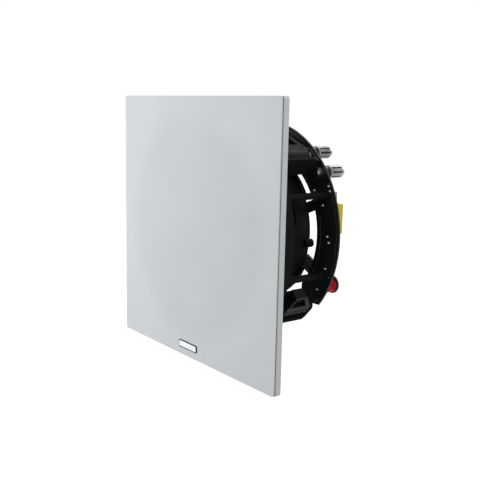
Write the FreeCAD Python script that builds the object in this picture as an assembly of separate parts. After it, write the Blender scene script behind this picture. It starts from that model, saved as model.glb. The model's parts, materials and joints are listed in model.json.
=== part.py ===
"""Square in-ceiling loudspeaker, built as the pieces that come apart on a bench.

The origin is on the driver axis, in the plane where the flange bears on the ceiling.
Facing the grille, +X is to the right, +Z is up and +Y runs back into the ceiling. Millimetres.
Angles are measured about the driver axis from +X towards +Z.
"""
import FreeCAD, Part
import math
import os

# Panel: the square grille and the flange behind it
panel_side = 230.0
panel_corner_r = 2.0
sheet_thick = 0.9
shadow_gap = 0.8
shadow_inset = 2.5
rim_depth = 5.3
rim_width = 11.0
rim_bevel = 0.5
corner_web = 3.0
scrim_thick = 0.3
scrim_margin = 1.0
badge_width = 26.0
badge_height = 5.0
badge_thick = 0.8
badge_corner_r = 0.8
badge_shift = -4.0
badge_above_edge = 10.0
grille_magnet_r = 3.5
grille_magnet_thick = 2.5
grille_magnet_spacing = 120.0

# Chassis: the barrel that passes the ceiling cut-out, the baffle and the clamp towers
barrel_reach = 11.0
barrel_wall = 3.0
skirt_depth = 23.0
skirt_step = 0.6
nest_step = 3.0
nest_depth = 1.5
nest_lip = 3.0
nest_clearance = 0.2
nest_relief = 1.4
face_relief = 1.0
face_relief_depth = 0.5
baffle_setback = 9.0
baffle_thick = 3.0
baffle_overlap = 4.5
rib_count = 16
rib_thick = 1.6
rib_step = 1.0
weld = 1.0

# Ceiling clamps
clamp_count = 4
clamp_angle = 46.5
clamp_head_gap = 3.1
clamp_hub_r = 7.0
clamp_arm_length = 24.0
clamp_arm_inset = 3.0
clamp_arm_outset = 6.5
clamp_arm_tip = 12.0
clamp_length = 26.0
clamp_nearest = 2.0
clamp_travel = 26.0
clamp_pocket_wall = 2.2
clamp_pocket_slope = 6.6
clamp_tooth = 1.2
clamp_teeth = 3
clamp_screw_r = 2.5
clamp_head_r = 4.4
clamp_head_height = 3.0
clamp_drive = 1.6
clamp_drive_width = 1.2
clamp_drive_span = 5.8
insert_r = 4.5
insert_flange_r = 6.2
insert_flange = 1.6
running_clearance = 0.08
swing_clearance = 0.5
tower_wall = 2.5
tower_guard = 10.0
tower_cap = 3.0
tower_cap_round = 5.6
notch_margin = 2.0

# Crossover board and the pillars that carry it
board_front = 76.4
board_thick = 1.6
board_inset = 5.2
board_drop = 1.4
board_slot = 5.5
board_foot = 33.8
board_gap = 104.0
tab_width = 9.5
tab_length = 10.0
tab_angles = (21.0, 159.0)
pillar_inset = 10.0
pillar_angle = 23.8
pillar_front_r = 3.6
pillar_rear_r = 2.6
board_screw_r = 1.25
board_screw_head_r = 2.4
board_screw_head = 1.8
board_screw_length = 9.0
screw_clearance = 0.1

# Binding posts
post_inset = 9.0
post_angle = 45.05
post_spread = 7.35
post_insulator_r = 6.0
post_insulator_height = 5.0
post_collar_r = 5.4
post_collar_height = 2.4
post_knob_r = 5.6
post_knob_length = 17.4
post_knob_flutes = 8
post_flute_r = 1.1
post_flute_set = 0.55
post_knob_bevel = 0.9
post_nose_r = 4.2
post_nose_length = 3.0
post_stud_r = 2.9
post_nut_flats = 8.0
post_nut_height = 3.0
post_thread_out = 1.0
socket_r = 2.05
socket_depth = 18.0

# Woofer
basket_flange_land = 6.5
basket_flange = 1.6
basket_wall = 2.2
basket_neck = 5.0
basket_fit = 0.6
basket_taper = 13.8
basket_rear = 73.5
basket_floor = 2.5
basket_coil_hole_r = 23.0
window_count = 12
window_width = 20.0
window_front = 20.0
window_rear = 54.0
window_corner_r = 3.0
spider_seat = 58.0
spider_seat_thick = 2.5
spider_seat_reach = 13.6
lug_count = 4
lug_angle = -7.0
lug_r = 3.7
lug_reach = 2.1
lug_length = 8.0
ear_angle = 44.0
ear_span = 34.0
ear_reach = 3.2
ear_root = 4.0
ear_thick = 4.0
woofer_screw_inset = 2.3
woofer_screw_r = 1.5
woofer_screw_head_r = 2.1
woofer_screw_head = 1.6
woofer_screw_length = 7.0
woofer_screw_count = 8
coil_r = 19.0
former_thick = 0.3
former_front = 45.0
former_rear = 82.0
winding_thick = 0.5
winding_front = 72.0
winding_rear = 80.0
pole_gap = 0.6
plate_gap = 0.6
cone_r = 66.0
cone_front = 8.2
cone_rear = 47.0
cone_thick = 0.9
cone_bulge = 2.4
cone_steps = 6
surround_thick = 0.6
surround_land = 2.6
surround_roll_r = 5.0
surround_steps = 8
gasket_thick = 2.0
spider_thick = 0.5
spider_wave = 1.1
spider_waves = 3
spider_margin = 1.0
top_plate_r = 46.0
top_plate_thick = 5.0
magnet_r = 44.0
magnet_bore_r = 25.0
magnet_thick = 10.5
yoke_r = 39.5
yoke_thick = 4.5
yoke_bevel = 2.0
vent_r = 7.0

# Tweeter on its post
tweeter_post_wall = 2.6
tweeter_post_fit = 0.1
tweeter_cup_r = 21.0
tweeter_cup_wall = 1.6
tweeter_cup_bevel = 3.2
tweeter_cup_front = 3.0
tweeter_cup_rear = 24.0
tweeter_face_r = 24.0
tweeter_face_front = -1.0
tweeter_face_land = 2.0
tweeter_horn_reach = 3.4
tweeter_horn_drop = 1.2
tweeter_throat = 0.6
tweeter_horn_steps = 5
tweeter_motor_r = 17.0
tweeter_motor_front = 6.0
tweeter_dome_r = 12.5
tweeter_dome_height = 4.0
tweeter_dome_thick = 0.4
tweeter_dome_rim = 1.5
tweeter_dome_steps = 6
tweeter_nut_flats = 19.0
tweeter_nut_height = 4.0
tweeter_thread_out = 1.0

# Crossover pieces, each placed by its inset from the board's rim and its angle
film_capacitor_at = (14.0, 10.1)
film_capacitor_size = (11.0, 12.4, 26.0)
film_capacitor_round = 1.2
electrolytic_at = (14.6, 170.1)
electrolytic_r = 8.0
electrolytic_height = 17.0
electrolytic_bevel = 0.8
resistor_places = ((5.8, 22.3), (14.6, 189.9))
resistor_size = (4.4, 5.0, 7.0)
resistor_bevel = 0.4
treble_coil_at = (9.4, -31.7)
treble_coil_r = 8.0
treble_coil_height = 15.4
bass_coil_at = (15.1, 133.4)
bass_coil_r = 12.4
bass_coil_height = 19.0
bobbin_flange = 1.4
bobbin_core_r = 4.0
winding_lip = 1.2
seat_clearance = 0.05

# Driver leads over the board's inner edge
terminal_angle = -29.0
terminal_width = 17.0
terminal_depth = 6.0
terminal_height = 3.0
lead_r = 1.75
lead_pitch = 3.7
lead_bend_r = 3.6
lead_margin = 0.4
lead_rise = 0.9
lead_sides = 12
lead_count = 4

# Levels worked out from the sizes above
V = FreeCAD.Vector
AXIS = V(0, 1, 0)
ORIGIN = V(0, 0, 0)
half = panel_side / 2
surround_outer_r = cone_r + 2 * surround_roll_r
basket_flange_r = surround_outer_r + basket_flange_land
woofer_screw_ring_r = basket_flange_r - woofer_screw_inset
baffle_opening_r = basket_flange_r - baffle_overlap
clamp_axis_r = basket_flange_r + clamp_head_r + clamp_head_gap
barrel_r = clamp_axis_r + barrel_reach
board_r = barrel_r - board_inset
board_flat = board_r - board_foot
pillar_ring_r = board_r - pillar_inset
post_ring_r = board_r - post_inset
rim_front = -rim_depth
land_front = rim_front - shadow_gap
sheet_front = land_front - sheet_thick
flange_opening_r = barrel_r - nest_step
lip_r = flange_opening_r - nest_clearance
shoulder_r = barrel_r - nest_relief
baffle_rear = baffle_setback + baffle_thick
skirt_r = barrel_r - skirt_step
skirt_inner_r = barrel_r - barrel_wall
board_rear = board_front + board_thick
clamp_front = baffle_rear + clamp_nearest + clamp_travel
clamp_rear = clamp_front + clamp_length
insert_bore_r = clamp_screw_r + running_clearance
arm_bore_r = insert_r + running_clearance
insert_rear = clamp_rear + running_clearance + insert_flange
cap_front = insert_rear + swing_clearance
tower_end = cap_front + tower_cap
tower_inner = clamp_axis_r - clamp_hub_r - swing_clearance - tower_wall
fin_outer = -clamp_hub_r - swing_clearance
basket_front = baffle_setback - basket_flange
basket_neck_r = baffle_opening_r - basket_fit
basket_rear_r = basket_neck_r - basket_taper
spider_seat_r = basket_rear_r - spider_seat_reach
board_hole_r = basket_rear_r + board_slot
plate_rear = basket_rear + top_plate_thick
magnet_rear = plate_rear + magnet_thick
yoke_rear = magnet_rear + yoke_thick
pole_r = coil_r - pole_gap
plate_hole_r = coil_r + former_thick + winding_thick + plate_gap
tweeter_post_r = vent_r - tweeter_post_fit
insulator_rear = board_rear + post_insulator_height
collar_rear = insulator_rear + post_collar_height
knob_rear = collar_rear + post_knob_length
stud_rear = knob_rear - post_thread_out
magnet_line = half - shadow_inset - rim_width / 2
terminal_r = (top_plate_r + basket_rear_r) / 2


def rod(radius, y0, y1, x=0.0, z=0.0):
    """Round bar along the driver axis."""
    return Part.makeCylinder(radius, y1 - y0, V(x, y0, z), AXIS)


def pipe(outer, inner, y0, y1, x=0.0, z=0.0):
    """Tube along the driver axis."""
    return rod(outer, y0, y1, x, z).cut(rod(inner, y0, y1, x, z))


def ring_part(outer, inner, y0, y1, span):
    """Part of a tube along the driver axis that spans some degrees, centred on three o'clock."""
    whole = Part.makeCylinder(outer, y1 - y0, V(0, y0, 0), AXIS, span)
    shape = whole.cut(rod(inner, y0, y1)).Solids[0]
    middle = shape.CenterOfMass
    return around(shape, -math.degrees(math.atan2(middle.z, middle.x)))


def block(x0, x1, y0, y1, z0, z1):
    """Box between two corners."""
    return Part.makeBox(x1 - x0, y1 - y0, z1 - z0, V(x0, y0, z0))


def hexagon(flats, y0, y1, x=0.0, z=0.0):
    """Six-sided bar along the driver axis, measured across its flats."""
    corner = flats / 2 / math.cos(math.pi / 6)
    points = [V(x + corner * math.cos(k * math.pi / 3), y0, z + corner * math.sin(k * math.pi / 3))
              for k in range(7)]
    return Part.Face(Part.makePolygon(points)).extrude(V(0, y1 - y0, 0))


def around(shape, degrees):
    """Copy of a shape made at three o'clock, carried round the driver axis towards +Z."""
    copy = shape.copy()
    copy.rotate(ORIGIN, AXIS, -degrees)
    return copy


def polar(radius, degrees):
    """X and Z of a point on a circle about the driver axis."""
    return radius * math.cos(math.radians(degrees)), radius * math.sin(math.radians(degrees))


def turned(points):
    """Solid of revolution about the driver axis from (radius, depth) corners."""
    corners = [V(radius, depth, 0) for radius, depth in points]
    return Part.Face(Part.makePolygon(corners + corners[:1])).revolve(ORIGIN, AXIS, 360)


def curve(start, middle, end, steps):
    """Corners in the plane along the arc through three points, both ends included."""
    path = Part.Arc(V(*start, 0), V(*middle, 0), V(*end, 0)).toShape()
    return [(point.x, point.y) for point in path.discretize(steps + 1)]


def edges_along(shape, direction):
    """Straight edges of a shape that run along a direction."""
    found = []
    for edge in shape.Edges:
        if isinstance(edge.Curve, Part.Line) and abs(edge.Curve.Direction.dot(direction)) > 0.999:
            found.append(edge)
    return found


def square_plate(side, corner_r, y0, y1):
    """Square plate across the driver axis with round corners."""
    plate = block(-side / 2, side / 2, y0, y1, -side / 2, side / 2)
    return plate.makeFillet(corner_r, edges_along(plate, AXIS))


def joined(shapes):
    """One clean solid from overlapping shapes."""
    return shapes[0].fuse(shapes[1:]).removeSplitter()


def group(shapes):
    """Separate solids kept in one node."""
    return Part.makeCompound(shapes)


def grille_magnet_places():
    """Two magnets on each side of the flange, in X and Z."""
    along = grille_magnet_spacing / 2
    places = []
    for line_sign in (-1, 1):
        for along_sign in (-1, 1):
            places.append((line_sign * magnet_line, along_sign * along))
            places.append((along_sign * along, line_sign * magnet_line))
    return places


def make_grille_sheet():
    return square_plate(panel_side, panel_corner_r, sheet_front, land_front)


def make_grille_scrim():
    side = panel_side - 2 * (shadow_inset + rim_width + scrim_margin)
    return square_plate(side, panel_corner_r, land_front, land_front + scrim_thick)


def make_grille_badge():
    centre_z = badge_above_edge - half
    plate = block(badge_shift - badge_width / 2, badge_shift + badge_width / 2,
                  sheet_front - badge_thick, sheet_front,
                  centre_z - badge_height / 2, centre_z + badge_height / 2)
    return plate.makeFillet(badge_corner_r, edges_along(plate, AXIS))


def make_flange():
    """Rim with a stepped front edge, thin corner webs, the chassis's seat and a relief round the barrel."""
    rim = square_plate(panel_side, panel_corner_r, rim_front, 0)
    front_edges = [edge for edge in rim.Edges if abs(edge.CenterOfMass.y - rim_front) < 1e-6]
    rim = rim.makeChamfer(rim_bevel, front_edges)
    land = square_plate(panel_side - 2 * shadow_inset, panel_corner_r, land_front, 0)
    inner_side = panel_side - 2 * (shadow_inset + rim_width)
    pocket = square_plate(inner_side, panel_corner_r, land_front, -corner_web)
    opening = rod(flange_opening_r, land_front, 0)
    nest = rod(shoulder_r + nest_clearance, -nest_depth, 0)
    relief = rod(barrel_r + face_relief, -face_relief_depth, 0)
    shape = rim.fuse(land).cut([pocket, opening, nest, relief])
    holes = [rod(grille_magnet_r, land_front, land_front + grille_magnet_thick, x, z)
             for x, z in grille_magnet_places()]
    return shape.cut(holes).removeSplitter()


def make_grille_magnets():
    return group([rod(grille_magnet_r, land_front, land_front + grille_magnet_thick, x, z)
                  for x, z in grille_magnet_places()])


def clamp_degrees():
    return [clamp_angle + k * 360.0 / clamp_count for k in range(clamp_count)]


def make_tower():
    """Guide for one clamp at three o'clock: back wall, stop fin and the cap that steadies the screw."""
    back = block(tower_inner, tower_inner + tower_wall, baffle_setback, tower_end,
                 fin_outer - tower_wall, tower_guard)
    fin_profile = [(tower_inner, baffle_setback), (skirt_inner_r + weld, baffle_setback),
                   (skirt_inner_r + weld, cap_front - tower_wall), (clamp_axis_r + clamp_hub_r, tower_end),
                   (tower_inner, tower_end)]
    corners = [V(x, y, fin_outer - tower_wall) for x, y in fin_profile]
    fin = Part.Face(Part.makePolygon(corners + corners[:1])).extrude(V(0, 0, tower_wall))
    cap = block(tower_inner, clamp_axis_r + clamp_hub_r, cap_front, tower_end,
                fin_outer - tower_wall, clamp_hub_r)
    cap = cap.makeFillet(tower_cap_round, [edge for edge in edges_along(cap, AXIS)
                                           if edge.CenterOfMass.x > clamp_axis_r
                                           and edge.CenterOfMass.z > 0])
    return [back, fin, cap]


def make_skirt_notch():
    """Room behind the baffle for one clamp to come forward and swing out."""
    return block(clamp_axis_r - clamp_hub_r, barrel_r, baffle_rear, skirt_depth,
                 fin_outer, clamp_arm_length + notch_margin)


def pillar_degrees():
    """Pillars stand in pairs round the board, apart from the flat at its foot."""
    angles = [quarter + side * pillar_angle for quarter in (0, 90, 180, 270) for side in (-1, 1)]
    return [angle for angle in angles if polar(pillar_ring_r, angle)[1] > -board_flat]


def woofer_screw_degrees():
    return [(k + 0.5) * 360.0 / woofer_screw_count for k in range(woofer_screw_count)]


def make_chassis():
    """Barrel, nesting lip, baffle with stiffening ribs and four clamp towers in one moulding."""
    barrel = pipe(barrel_r, skirt_inner_r, 0, baffle_rear)
    skirt = pipe(skirt_r, skirt_inner_r, baffle_setback, skirt_depth)
    notches = [around(make_skirt_notch(), angle) for angle in clamp_degrees()]
    lip = pipe(lip_r, lip_r - nest_lip, -corner_web, nest_depth)
    shoulder = pipe(shoulder_r, lip_r - nest_lip, -nest_depth, nest_depth)
    baffle = pipe(skirt_inner_r + weld, baffle_opening_r, baffle_setback, baffle_rear)
    rib = block(lip_r - nest_lip - rib_step, skirt_inner_r + weld, nest_depth - weld, baffle_setback + weld,
                -rib_thick / 2, rib_thick / 2)
    ribs = [around(rib, (k + 0.5) * 360.0 / rib_count) for k in range(rib_count)]
    towers = []
    for angle in clamp_degrees():
        towers += [around(piece, angle) for piece in make_tower()]
    shape = joined([barrel, skirt.cut(notches), lip, shoulder, baffle] + ribs + towers)
    holes = []
    for angle in clamp_degrees():
        holes.append(rod(insert_bore_r, baffle_setback, tower_end, *polar(clamp_axis_r, angle)))
    for angle in woofer_screw_degrees():
        holes.append(rod(woofer_screw_r, baffle_setback, baffle_rear, *polar(woofer_screw_ring_r, angle)))
    return shape.cut(holes)


def make_board_pillars():
    pillars = []
    for angle in pillar_degrees():
        x, z = polar(pillar_ring_r, angle)
        shaft = Part.makeCone(pillar_front_r, pillar_rear_r, board_front - baffle_rear,
                              V(x, baffle_rear, z), AXIS)
        pilot = rod(board_screw_r, board_front - board_screw_length + board_thick, board_front, x, z)
        pillars.append(shaft.cut(pilot))
    return group(pillars)


def make_board_screws():
    screws = []
    for angle in pillar_degrees():
        x, z = polar(pillar_ring_r, angle)
        shank = rod(board_screw_r, board_rear - board_screw_length, board_rear, x, z)
        head = rod(board_screw_head_r, board_rear, board_rear + board_screw_head, x, z)
        screws.append(joined([shank, head]))
    return group(screws)


def post_places():
    return [polar(post_ring_r, post_angle + sign * post_spread) for sign in (-1, 1)]


def make_crossover_board():
    """Horseshoe board, open at its flat foot, with two inner tabs and holes for screws and posts."""
    disc = rod(board_r, board_front, board_rear, 0, -board_drop)
    opening = rod(board_hole_r, board_front, board_rear, 0, -board_drop)
    foot = block(-board_r, board_r, board_front, board_rear, -board_r - board_drop, -board_flat)
    gap = block(-board_gap / 2, board_gap / 2, board_front, board_rear, -board_flat, -board_drop)
    tab = block(board_hole_r - tab_length, board_hole_r + tab_length, board_front, board_rear,
                -tab_width / 2, tab_width / 2)
    tabs = [around(tab, angle) for angle in tab_angles]
    holes = [rod(board_screw_r + screw_clearance, board_front, board_rear, *polar(pillar_ring_r, angle))
             for angle in pillar_degrees()]
    holes += [rod(post_stud_r + screw_clearance, board_front, board_rear, x, z) for x, z in post_places()]
    return joined([disc.cut([opening, foot, gap])] + tabs).cut(holes)


def make_post_insulators():
    shapes = []
    for x, z in post_places():
        body = Part.makeCone(post_insulator_r, post_collar_r, post_insulator_height, V(x, board_rear, z), AXIS)
        shapes.append(body.cut(rod(post_stud_r + screw_clearance, board_rear, insulator_rear, x, z)))
    return group(shapes)


def make_post_studs():
    shapes = []
    for x, z in post_places():
        stud = rod(post_stud_r, board_front - post_nut_height - post_thread_out, stud_rear, x, z)
        shapes.append(stud.cut(rod(socket_r, stud_rear - socket_depth, stud_rear, x, z)))
    return group(shapes)


def make_post_nuts():
    shapes = []
    for x, z in post_places():
        nut = hexagon(post_nut_flats, board_front - post_nut_height, board_front, x, z)
        shapes.append(nut.cut(rod(post_stud_r + screw_clearance, board_front - post_nut_height,
                                  board_front, x, z)))
    return group(shapes)


def make_post_collar(x, z):
    return pipe(post_collar_r, post_stud_r + running_clearance, insulator_rear, collar_rear, x, z)


def make_post_knob(x, z):
    """Fluted metal cap with a tapered nose and a bore that leaves the socket open."""
    bore_r = post_stud_r + running_clearance
    body = turned([
        (bore_r, collar_rear),
        (post_knob_r - post_knob_bevel, collar_rear),
        (post_knob_r, collar_rear + post_knob_bevel),
        (post_knob_r, knob_rear - post_nose_length),
        (post_nose_r, knob_rear),
        (bore_r, knob_rear),
    ])
    body.translate(V(x, 0, z))
    cuts = []
    for k in range(post_knob_flutes):
        dx, dz = polar(post_knob_r + post_flute_set, k * 360.0 / post_knob_flutes)
        cuts.append(rod(post_flute_r, collar_rear + 2 * post_flute_r, knob_rear, x + dx, z + dz))
    return body.cut(cuts)


def make_clamp_screw(angle):
    """Long screw with a round head on the baffle and a cross drive."""
    front = baffle_setback - clamp_head_height
    shank = rod(clamp_screw_r, baffle_setback, tower_end, clamp_axis_r)
    head = rod(clamp_head_r, front, baffle_setback, clamp_axis_r)
    reach = clamp_drive_span / 2
    side = clamp_drive_width / 2
    slots = [block(clamp_axis_r - a, clamp_axis_r + a, front, front + clamp_drive, -b, b)
             for a, b in ((reach, side), (side, reach))]
    return around(joined([shank, head]).cut(slots), angle)


def make_clamp_insert(angle):
    body = rod(insert_r, clamp_front, insert_rear, clamp_axis_r)
    flange = rod(insert_flange_r, insert_rear - insert_flange, insert_rear, clamp_axis_r)
    bore = rod(insert_bore_r, clamp_front, insert_rear, clamp_axis_r)
    return around(joined([body, flange]).cut(bore), angle)


def make_clamp_arm(angle):
    """Folded arm: hub, braced flag that follows the barrel, moulded pocket and gripping teeth."""
    hub = rod(clamp_hub_r, clamp_front, clamp_rear, clamp_axis_r)
    x0 = clamp_axis_r - clamp_arm_inset
    profile = [(0, clamp_front), (clamp_arm_length, clamp_front),
               (clamp_arm_length, clamp_front + clamp_arm_tip), (clamp_hub_r, clamp_rear), (0, clamp_rear)]
    corners = [V(x0, y, z) for z, y in profile]
    flag = Part.Face(Part.makePolygon(corners + corners[:1])).extrude(V(clamp_arm_inset + clamp_arm_outset, 0, 0))
    flag = flag.common(rod(skirt_r - swing_clearance, clamp_front, clamp_rear))
    pocket_profile = [(clamp_hub_r + clamp_pocket_wall, clamp_front + clamp_pocket_wall),
                      (clamp_arm_length - clamp_pocket_wall, clamp_front + clamp_pocket_wall),
                      (clamp_arm_length - clamp_pocket_wall, clamp_front + clamp_arm_tip - clamp_pocket_wall),
                      (clamp_hub_r + clamp_pocket_wall, clamp_rear - clamp_pocket_slope)]
    corners = [V(clamp_axis_r + clamp_arm_inset, y, z) for z, y in pocket_profile]
    pocket = Part.Face(Part.makePolygon(corners + corners[:1])).extrude(V(barrel_r - clamp_axis_r, 0, 0))
    teeth = []
    for k in range(1, clamp_teeth + 1):
        middle = clamp_hub_r + k * (clamp_arm_length - clamp_hub_r) / (clamp_teeth + 1)
        teeth.append(block(x0, barrel_r, clamp_front, clamp_front + clamp_tooth,
                           middle - clamp_tooth, middle + clamp_tooth))
    shape = joined([hub, flag]).cut([pocket] + teeth)
    bore = rod(arm_bore_r, clamp_front, clamp_rear, clamp_axis_r)
    return around(shape.cut(bore), angle)


def basket_outer_r(depth):
    """Outer radius of the basket's sloping wall."""
    start = baffle_setback + basket_neck
    share = (depth - start) / (basket_rear - basket_floor - start)
    return basket_neck_r + share * (basket_rear_r - basket_neck_r)


def make_woofer_basket():
    """Cast basket: mounting flange, windowed wall, spider seat and rear floor."""
    neck = baffle_setback + basket_neck
    floor = basket_rear - basket_floor
    seat_rear = spider_seat + spider_seat_thick
    wall = turned([
        (basket_flange_r, basket_front), (basket_flange_r, baffle_setback), (basket_neck_r, baffle_setback),
        (basket_neck_r, neck), (basket_rear_r, floor), (basket_rear_r, basket_rear),
        (basket_coil_hole_r, basket_rear), (basket_coil_hole_r, floor), (basket_rear_r - basket_wall, floor),
        (basket_outer_r(seat_rear) - basket_wall, seat_rear), (spider_seat_r, seat_rear),
        (spider_seat_r, spider_seat), (basket_outer_r(spider_seat) - basket_wall, spider_seat),
        (basket_neck_r - basket_wall, neck), (basket_neck_r - basket_wall, basket_front)])
    window = block(spider_seat_r, baffle_opening_r, window_front, window_rear,
                   -window_width / 2, window_width / 2)
    window = window.makeFillet(window_corner_r, edges_along(window, V(1, 0, 0)))
    windows = [around(window, (k + 0.5) * 360.0 / window_count) for k in range(window_count)]
    lug = rod(lug_r, basket_rear - lug_length, basket_rear, basket_rear_r + lug_reach)
    lugs = [around(lug, lug_angle + k * 360.0 / lug_count) for k in range(lug_count)]
    ear = ring_part(basket_rear_r + ear_reach, basket_rear_r - ear_root, basket_rear - ear_thick,
                    basket_rear, ear_span)
    ears = [around(ear, side + sign * ear_angle) for side in (0, 180) for sign in (-1, 1)]
    shape = joined([wall.cut(windows)] + ears + lugs)
    return shape.cut(gasket_holes(basket_front, baffle_setback))


def make_woofer_screws():
    screws = []
    front = basket_front - surround_thick - gasket_thick
    for angle in woofer_screw_degrees():
        x, z = polar(woofer_screw_ring_r, angle)
        shank = rod(woofer_screw_r, front, front + woofer_screw_length, x, z)
        head = Part.makeCone(woofer_screw_r, woofer_screw_head_r, woofer_screw_head,
                             V(x, front - woofer_screw_head, z), AXIS)
        screws.append(joined([shank, head]))
    return group(screws)


def gasket_holes(y0, y1):
    return [rod(woofer_screw_r + screw_clearance, y0, y1, *polar(woofer_screw_ring_r, angle))
            for angle in woofer_screw_degrees()]


def make_woofer_gasket():
    rear = basket_front - surround_thick
    ring = pipe(basket_flange_r, surround_outer_r + surround_thick, rear - gasket_thick, rear)
    return ring.cut(gasket_holes(rear - gasket_thick, rear))


def make_woofer_surround():
    """Half-roll rubber edge between the cone and the basket flange."""
    middle = cone_r + surround_roll_r
    rear = basket_front
    front = rear - surround_thick
    inner_land = cone_r - surround_land
    crest = front - surround_roll_r
    outside = curve((cone_r, front), (middle, crest), (surround_outer_r, front), surround_steps)
    inside = curve((surround_outer_r - surround_thick, rear), (middle, crest + 2 * surround_thick),
                   (cone_r + surround_thick, rear), surround_steps)
    profile = [(inner_land, front)] + outside + [(basket_flange_r, front), (basket_flange_r, rear)]
    profile += inside + [(inner_land, rear)]
    return turned(profile).cut(gasket_holes(front, rear))


def make_woofer_cone():
    """Curved paper cone from the voice coil to the surround."""
    neck = coil_r + former_thick
    middle_r = (neck + cone_r) / 2
    middle_y = (cone_front + cone_rear) / 2 + cone_bulge
    front = curve((cone_r, cone_front), (middle_r, middle_y), (neck, cone_rear), cone_steps)
    rear = [(radius, depth + cone_thick) for radius, depth in front]
    land = pipe(cone_r, cone_r - surround_land, basket_front, cone_front + cone_thick)
    return joined([turned(front + rear[::-1]), land])


def make_voice_coil_former():
    return pipe(coil_r + former_thick, coil_r, former_front, former_rear)


def make_voice_coil_winding():
    outer = coil_r + former_thick + winding_thick
    return pipe(outer, coil_r + former_thick, winding_front, winding_rear)


def make_woofer_spider():
    """Corrugated centring disc between the former and its seat in the basket."""
    inner = coil_r + former_thick + seat_clearance
    outer = basket_outer_r(spider_seat) - basket_wall - spider_margin
    rear = spider_seat
    step = (spider_seat_r - inner) / (2 * spider_waves)
    front_side = [(inner, rear - spider_thick)]
    rear_side = [(inner, rear)]
    for k in range(1, 2 * spider_waves):
        lift = spider_wave if k % 2 else -spider_wave
        front_side.append((inner + k * step, rear - spider_thick + lift))
        rear_side.append((inner + k * step, rear + lift))
    front_side += [(spider_seat_r, rear - spider_thick), (outer, rear - spider_thick)]
    rear_side += [(spider_seat_r, rear), (outer, rear)]
    return turned(front_side + rear_side[::-1])


def make_woofer_top_plate():
    return pipe(top_plate_r, plate_hole_r, basket_rear, plate_rear)


def make_woofer_magnet():
    return pipe(magnet_r, magnet_bore_r, plate_rear, magnet_rear)


def make_woofer_yoke():
    """Back plate and pole in one forging, bored for the tweeter post."""
    return turned([(vent_r, basket_rear), (pole_r, basket_rear), (pole_r, magnet_rear), (yoke_r, magnet_rear),
                   (yoke_r, yoke_rear - yoke_bevel), (yoke_r - yoke_bevel, yoke_rear), (vent_r, yoke_rear)])


def make_tweeter_post():
    """Hollow stalk that carries the tweeter through the woofer's pole."""
    rear = yoke_rear + tweeter_nut_height + tweeter_thread_out
    return pipe(tweeter_post_r, tweeter_post_r - tweeter_post_wall, tweeter_cup_rear, rear)


def make_tweeter_nut():
    nut = hexagon(tweeter_nut_flats, yoke_rear, yoke_rear + tweeter_nut_height)
    return nut.cut(rod(tweeter_post_r + tweeter_post_fit, yoke_rear, yoke_rear + tweeter_nut_height))


def make_tweeter_cup():
    floor = tweeter_cup_rear - tweeter_cup_wall
    return turned([(tweeter_cup_r, tweeter_cup_front), (tweeter_cup_r, floor),
                   (tweeter_cup_r - tweeter_cup_bevel, tweeter_cup_rear), (0.0, tweeter_cup_rear),
                   (0.0, floor), (tweeter_cup_r - tweeter_cup_wall, floor),
                   (tweeter_cup_r - tweeter_cup_wall, tweeter_cup_front)])


def make_tweeter_motor():
    return rod(tweeter_motor_r, tweeter_motor_front, tweeter_cup_rear - tweeter_cup_wall)


def make_tweeter_faceplate():
    """Front ring whose mouth flares out as a short horn."""
    throat = tweeter_dome_r + tweeter_dome_thick
    front = tweeter_face_front
    rear = tweeter_cup_front
    flare = curve((tweeter_face_r - tweeter_face_land, front),
                  (throat + tweeter_horn_reach, front + tweeter_horn_drop),
                  (throat, rear - tweeter_throat), tweeter_horn_steps)
    return turned([(throat, rear), (tweeter_face_r, rear), (tweeter_face_r, front)] + flare)


def make_tweeter_dome():
    """Soft dome with the flat rim that lies on the tweeter's motor."""
    rim = tweeter_motor_front
    top = rim - tweeter_dome_height
    cap = tweeter_dome_r - tweeter_dome_rim
    radius = (cap ** 2 + tweeter_dome_height ** 2) / (2 * tweeter_dome_height)
    half_angle = math.asin(cap / radius) / 2

    def on_sphere(size, angle):
        return size * math.sin(angle), top + radius - size * math.cos(angle)

    inner = radius - tweeter_dome_thick
    outside = curve((0.0, top), on_sphere(radius, half_angle), (cap, rim), tweeter_dome_steps)
    edge = math.acos((radius - tweeter_dome_height) / inner)
    inside = curve((0.0, top + tweeter_dome_thick), on_sphere(inner, edge / 2),
                   on_sphere(inner, edge), tweeter_dome_steps)
    rim_ring = pipe(tweeter_motor_r, cap - 2 * tweeter_dome_thick, rim - tweeter_dome_thick, rim)
    return joined([turned(outside + inside[::-1]), rim_ring])


def on_board(place):
    """X and Z of a crossover piece from its inset and angle."""
    inset, angle = place
    return polar(board_r - inset, angle)


def make_film_capacitor():
    x, z = on_board(film_capacitor_at)
    width, height, length = film_capacitor_size
    body = block(x - width / 2, x + width / 2, board_rear, board_rear + height, z - length / 2, z + length / 2)
    upright = [edge for edge in body.Edges if edge.CenterOfMass.y > board_rear + film_capacitor_round]
    return body.makeFillet(film_capacitor_round, upright)


def make_electrolytic_capacitor():
    x, z = on_board(electrolytic_at)
    top = board_rear + electrolytic_height
    can = rod(electrolytic_r, board_rear, top, x, z)
    rims = [edge for edge in can.Edges
            if isinstance(edge.Curve, Part.Circle) and abs(edge.CenterOfMass.y - top) < 1e-6]
    return can.makeChamfer(electrolytic_bevel, rims)


def make_resistors():
    width, height, length = resistor_size
    shapes = []
    for x, z in [on_board(place) for place in resistor_places]:
        body = block(x - width / 2, x + width / 2, board_rear, board_rear + height,
                     z - length / 2, z + length / 2)
        shapes.append(body.makeChamfer(resistor_bevel, edges_along(body, V(0, 0, 1))))
    return group(shapes)


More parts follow.
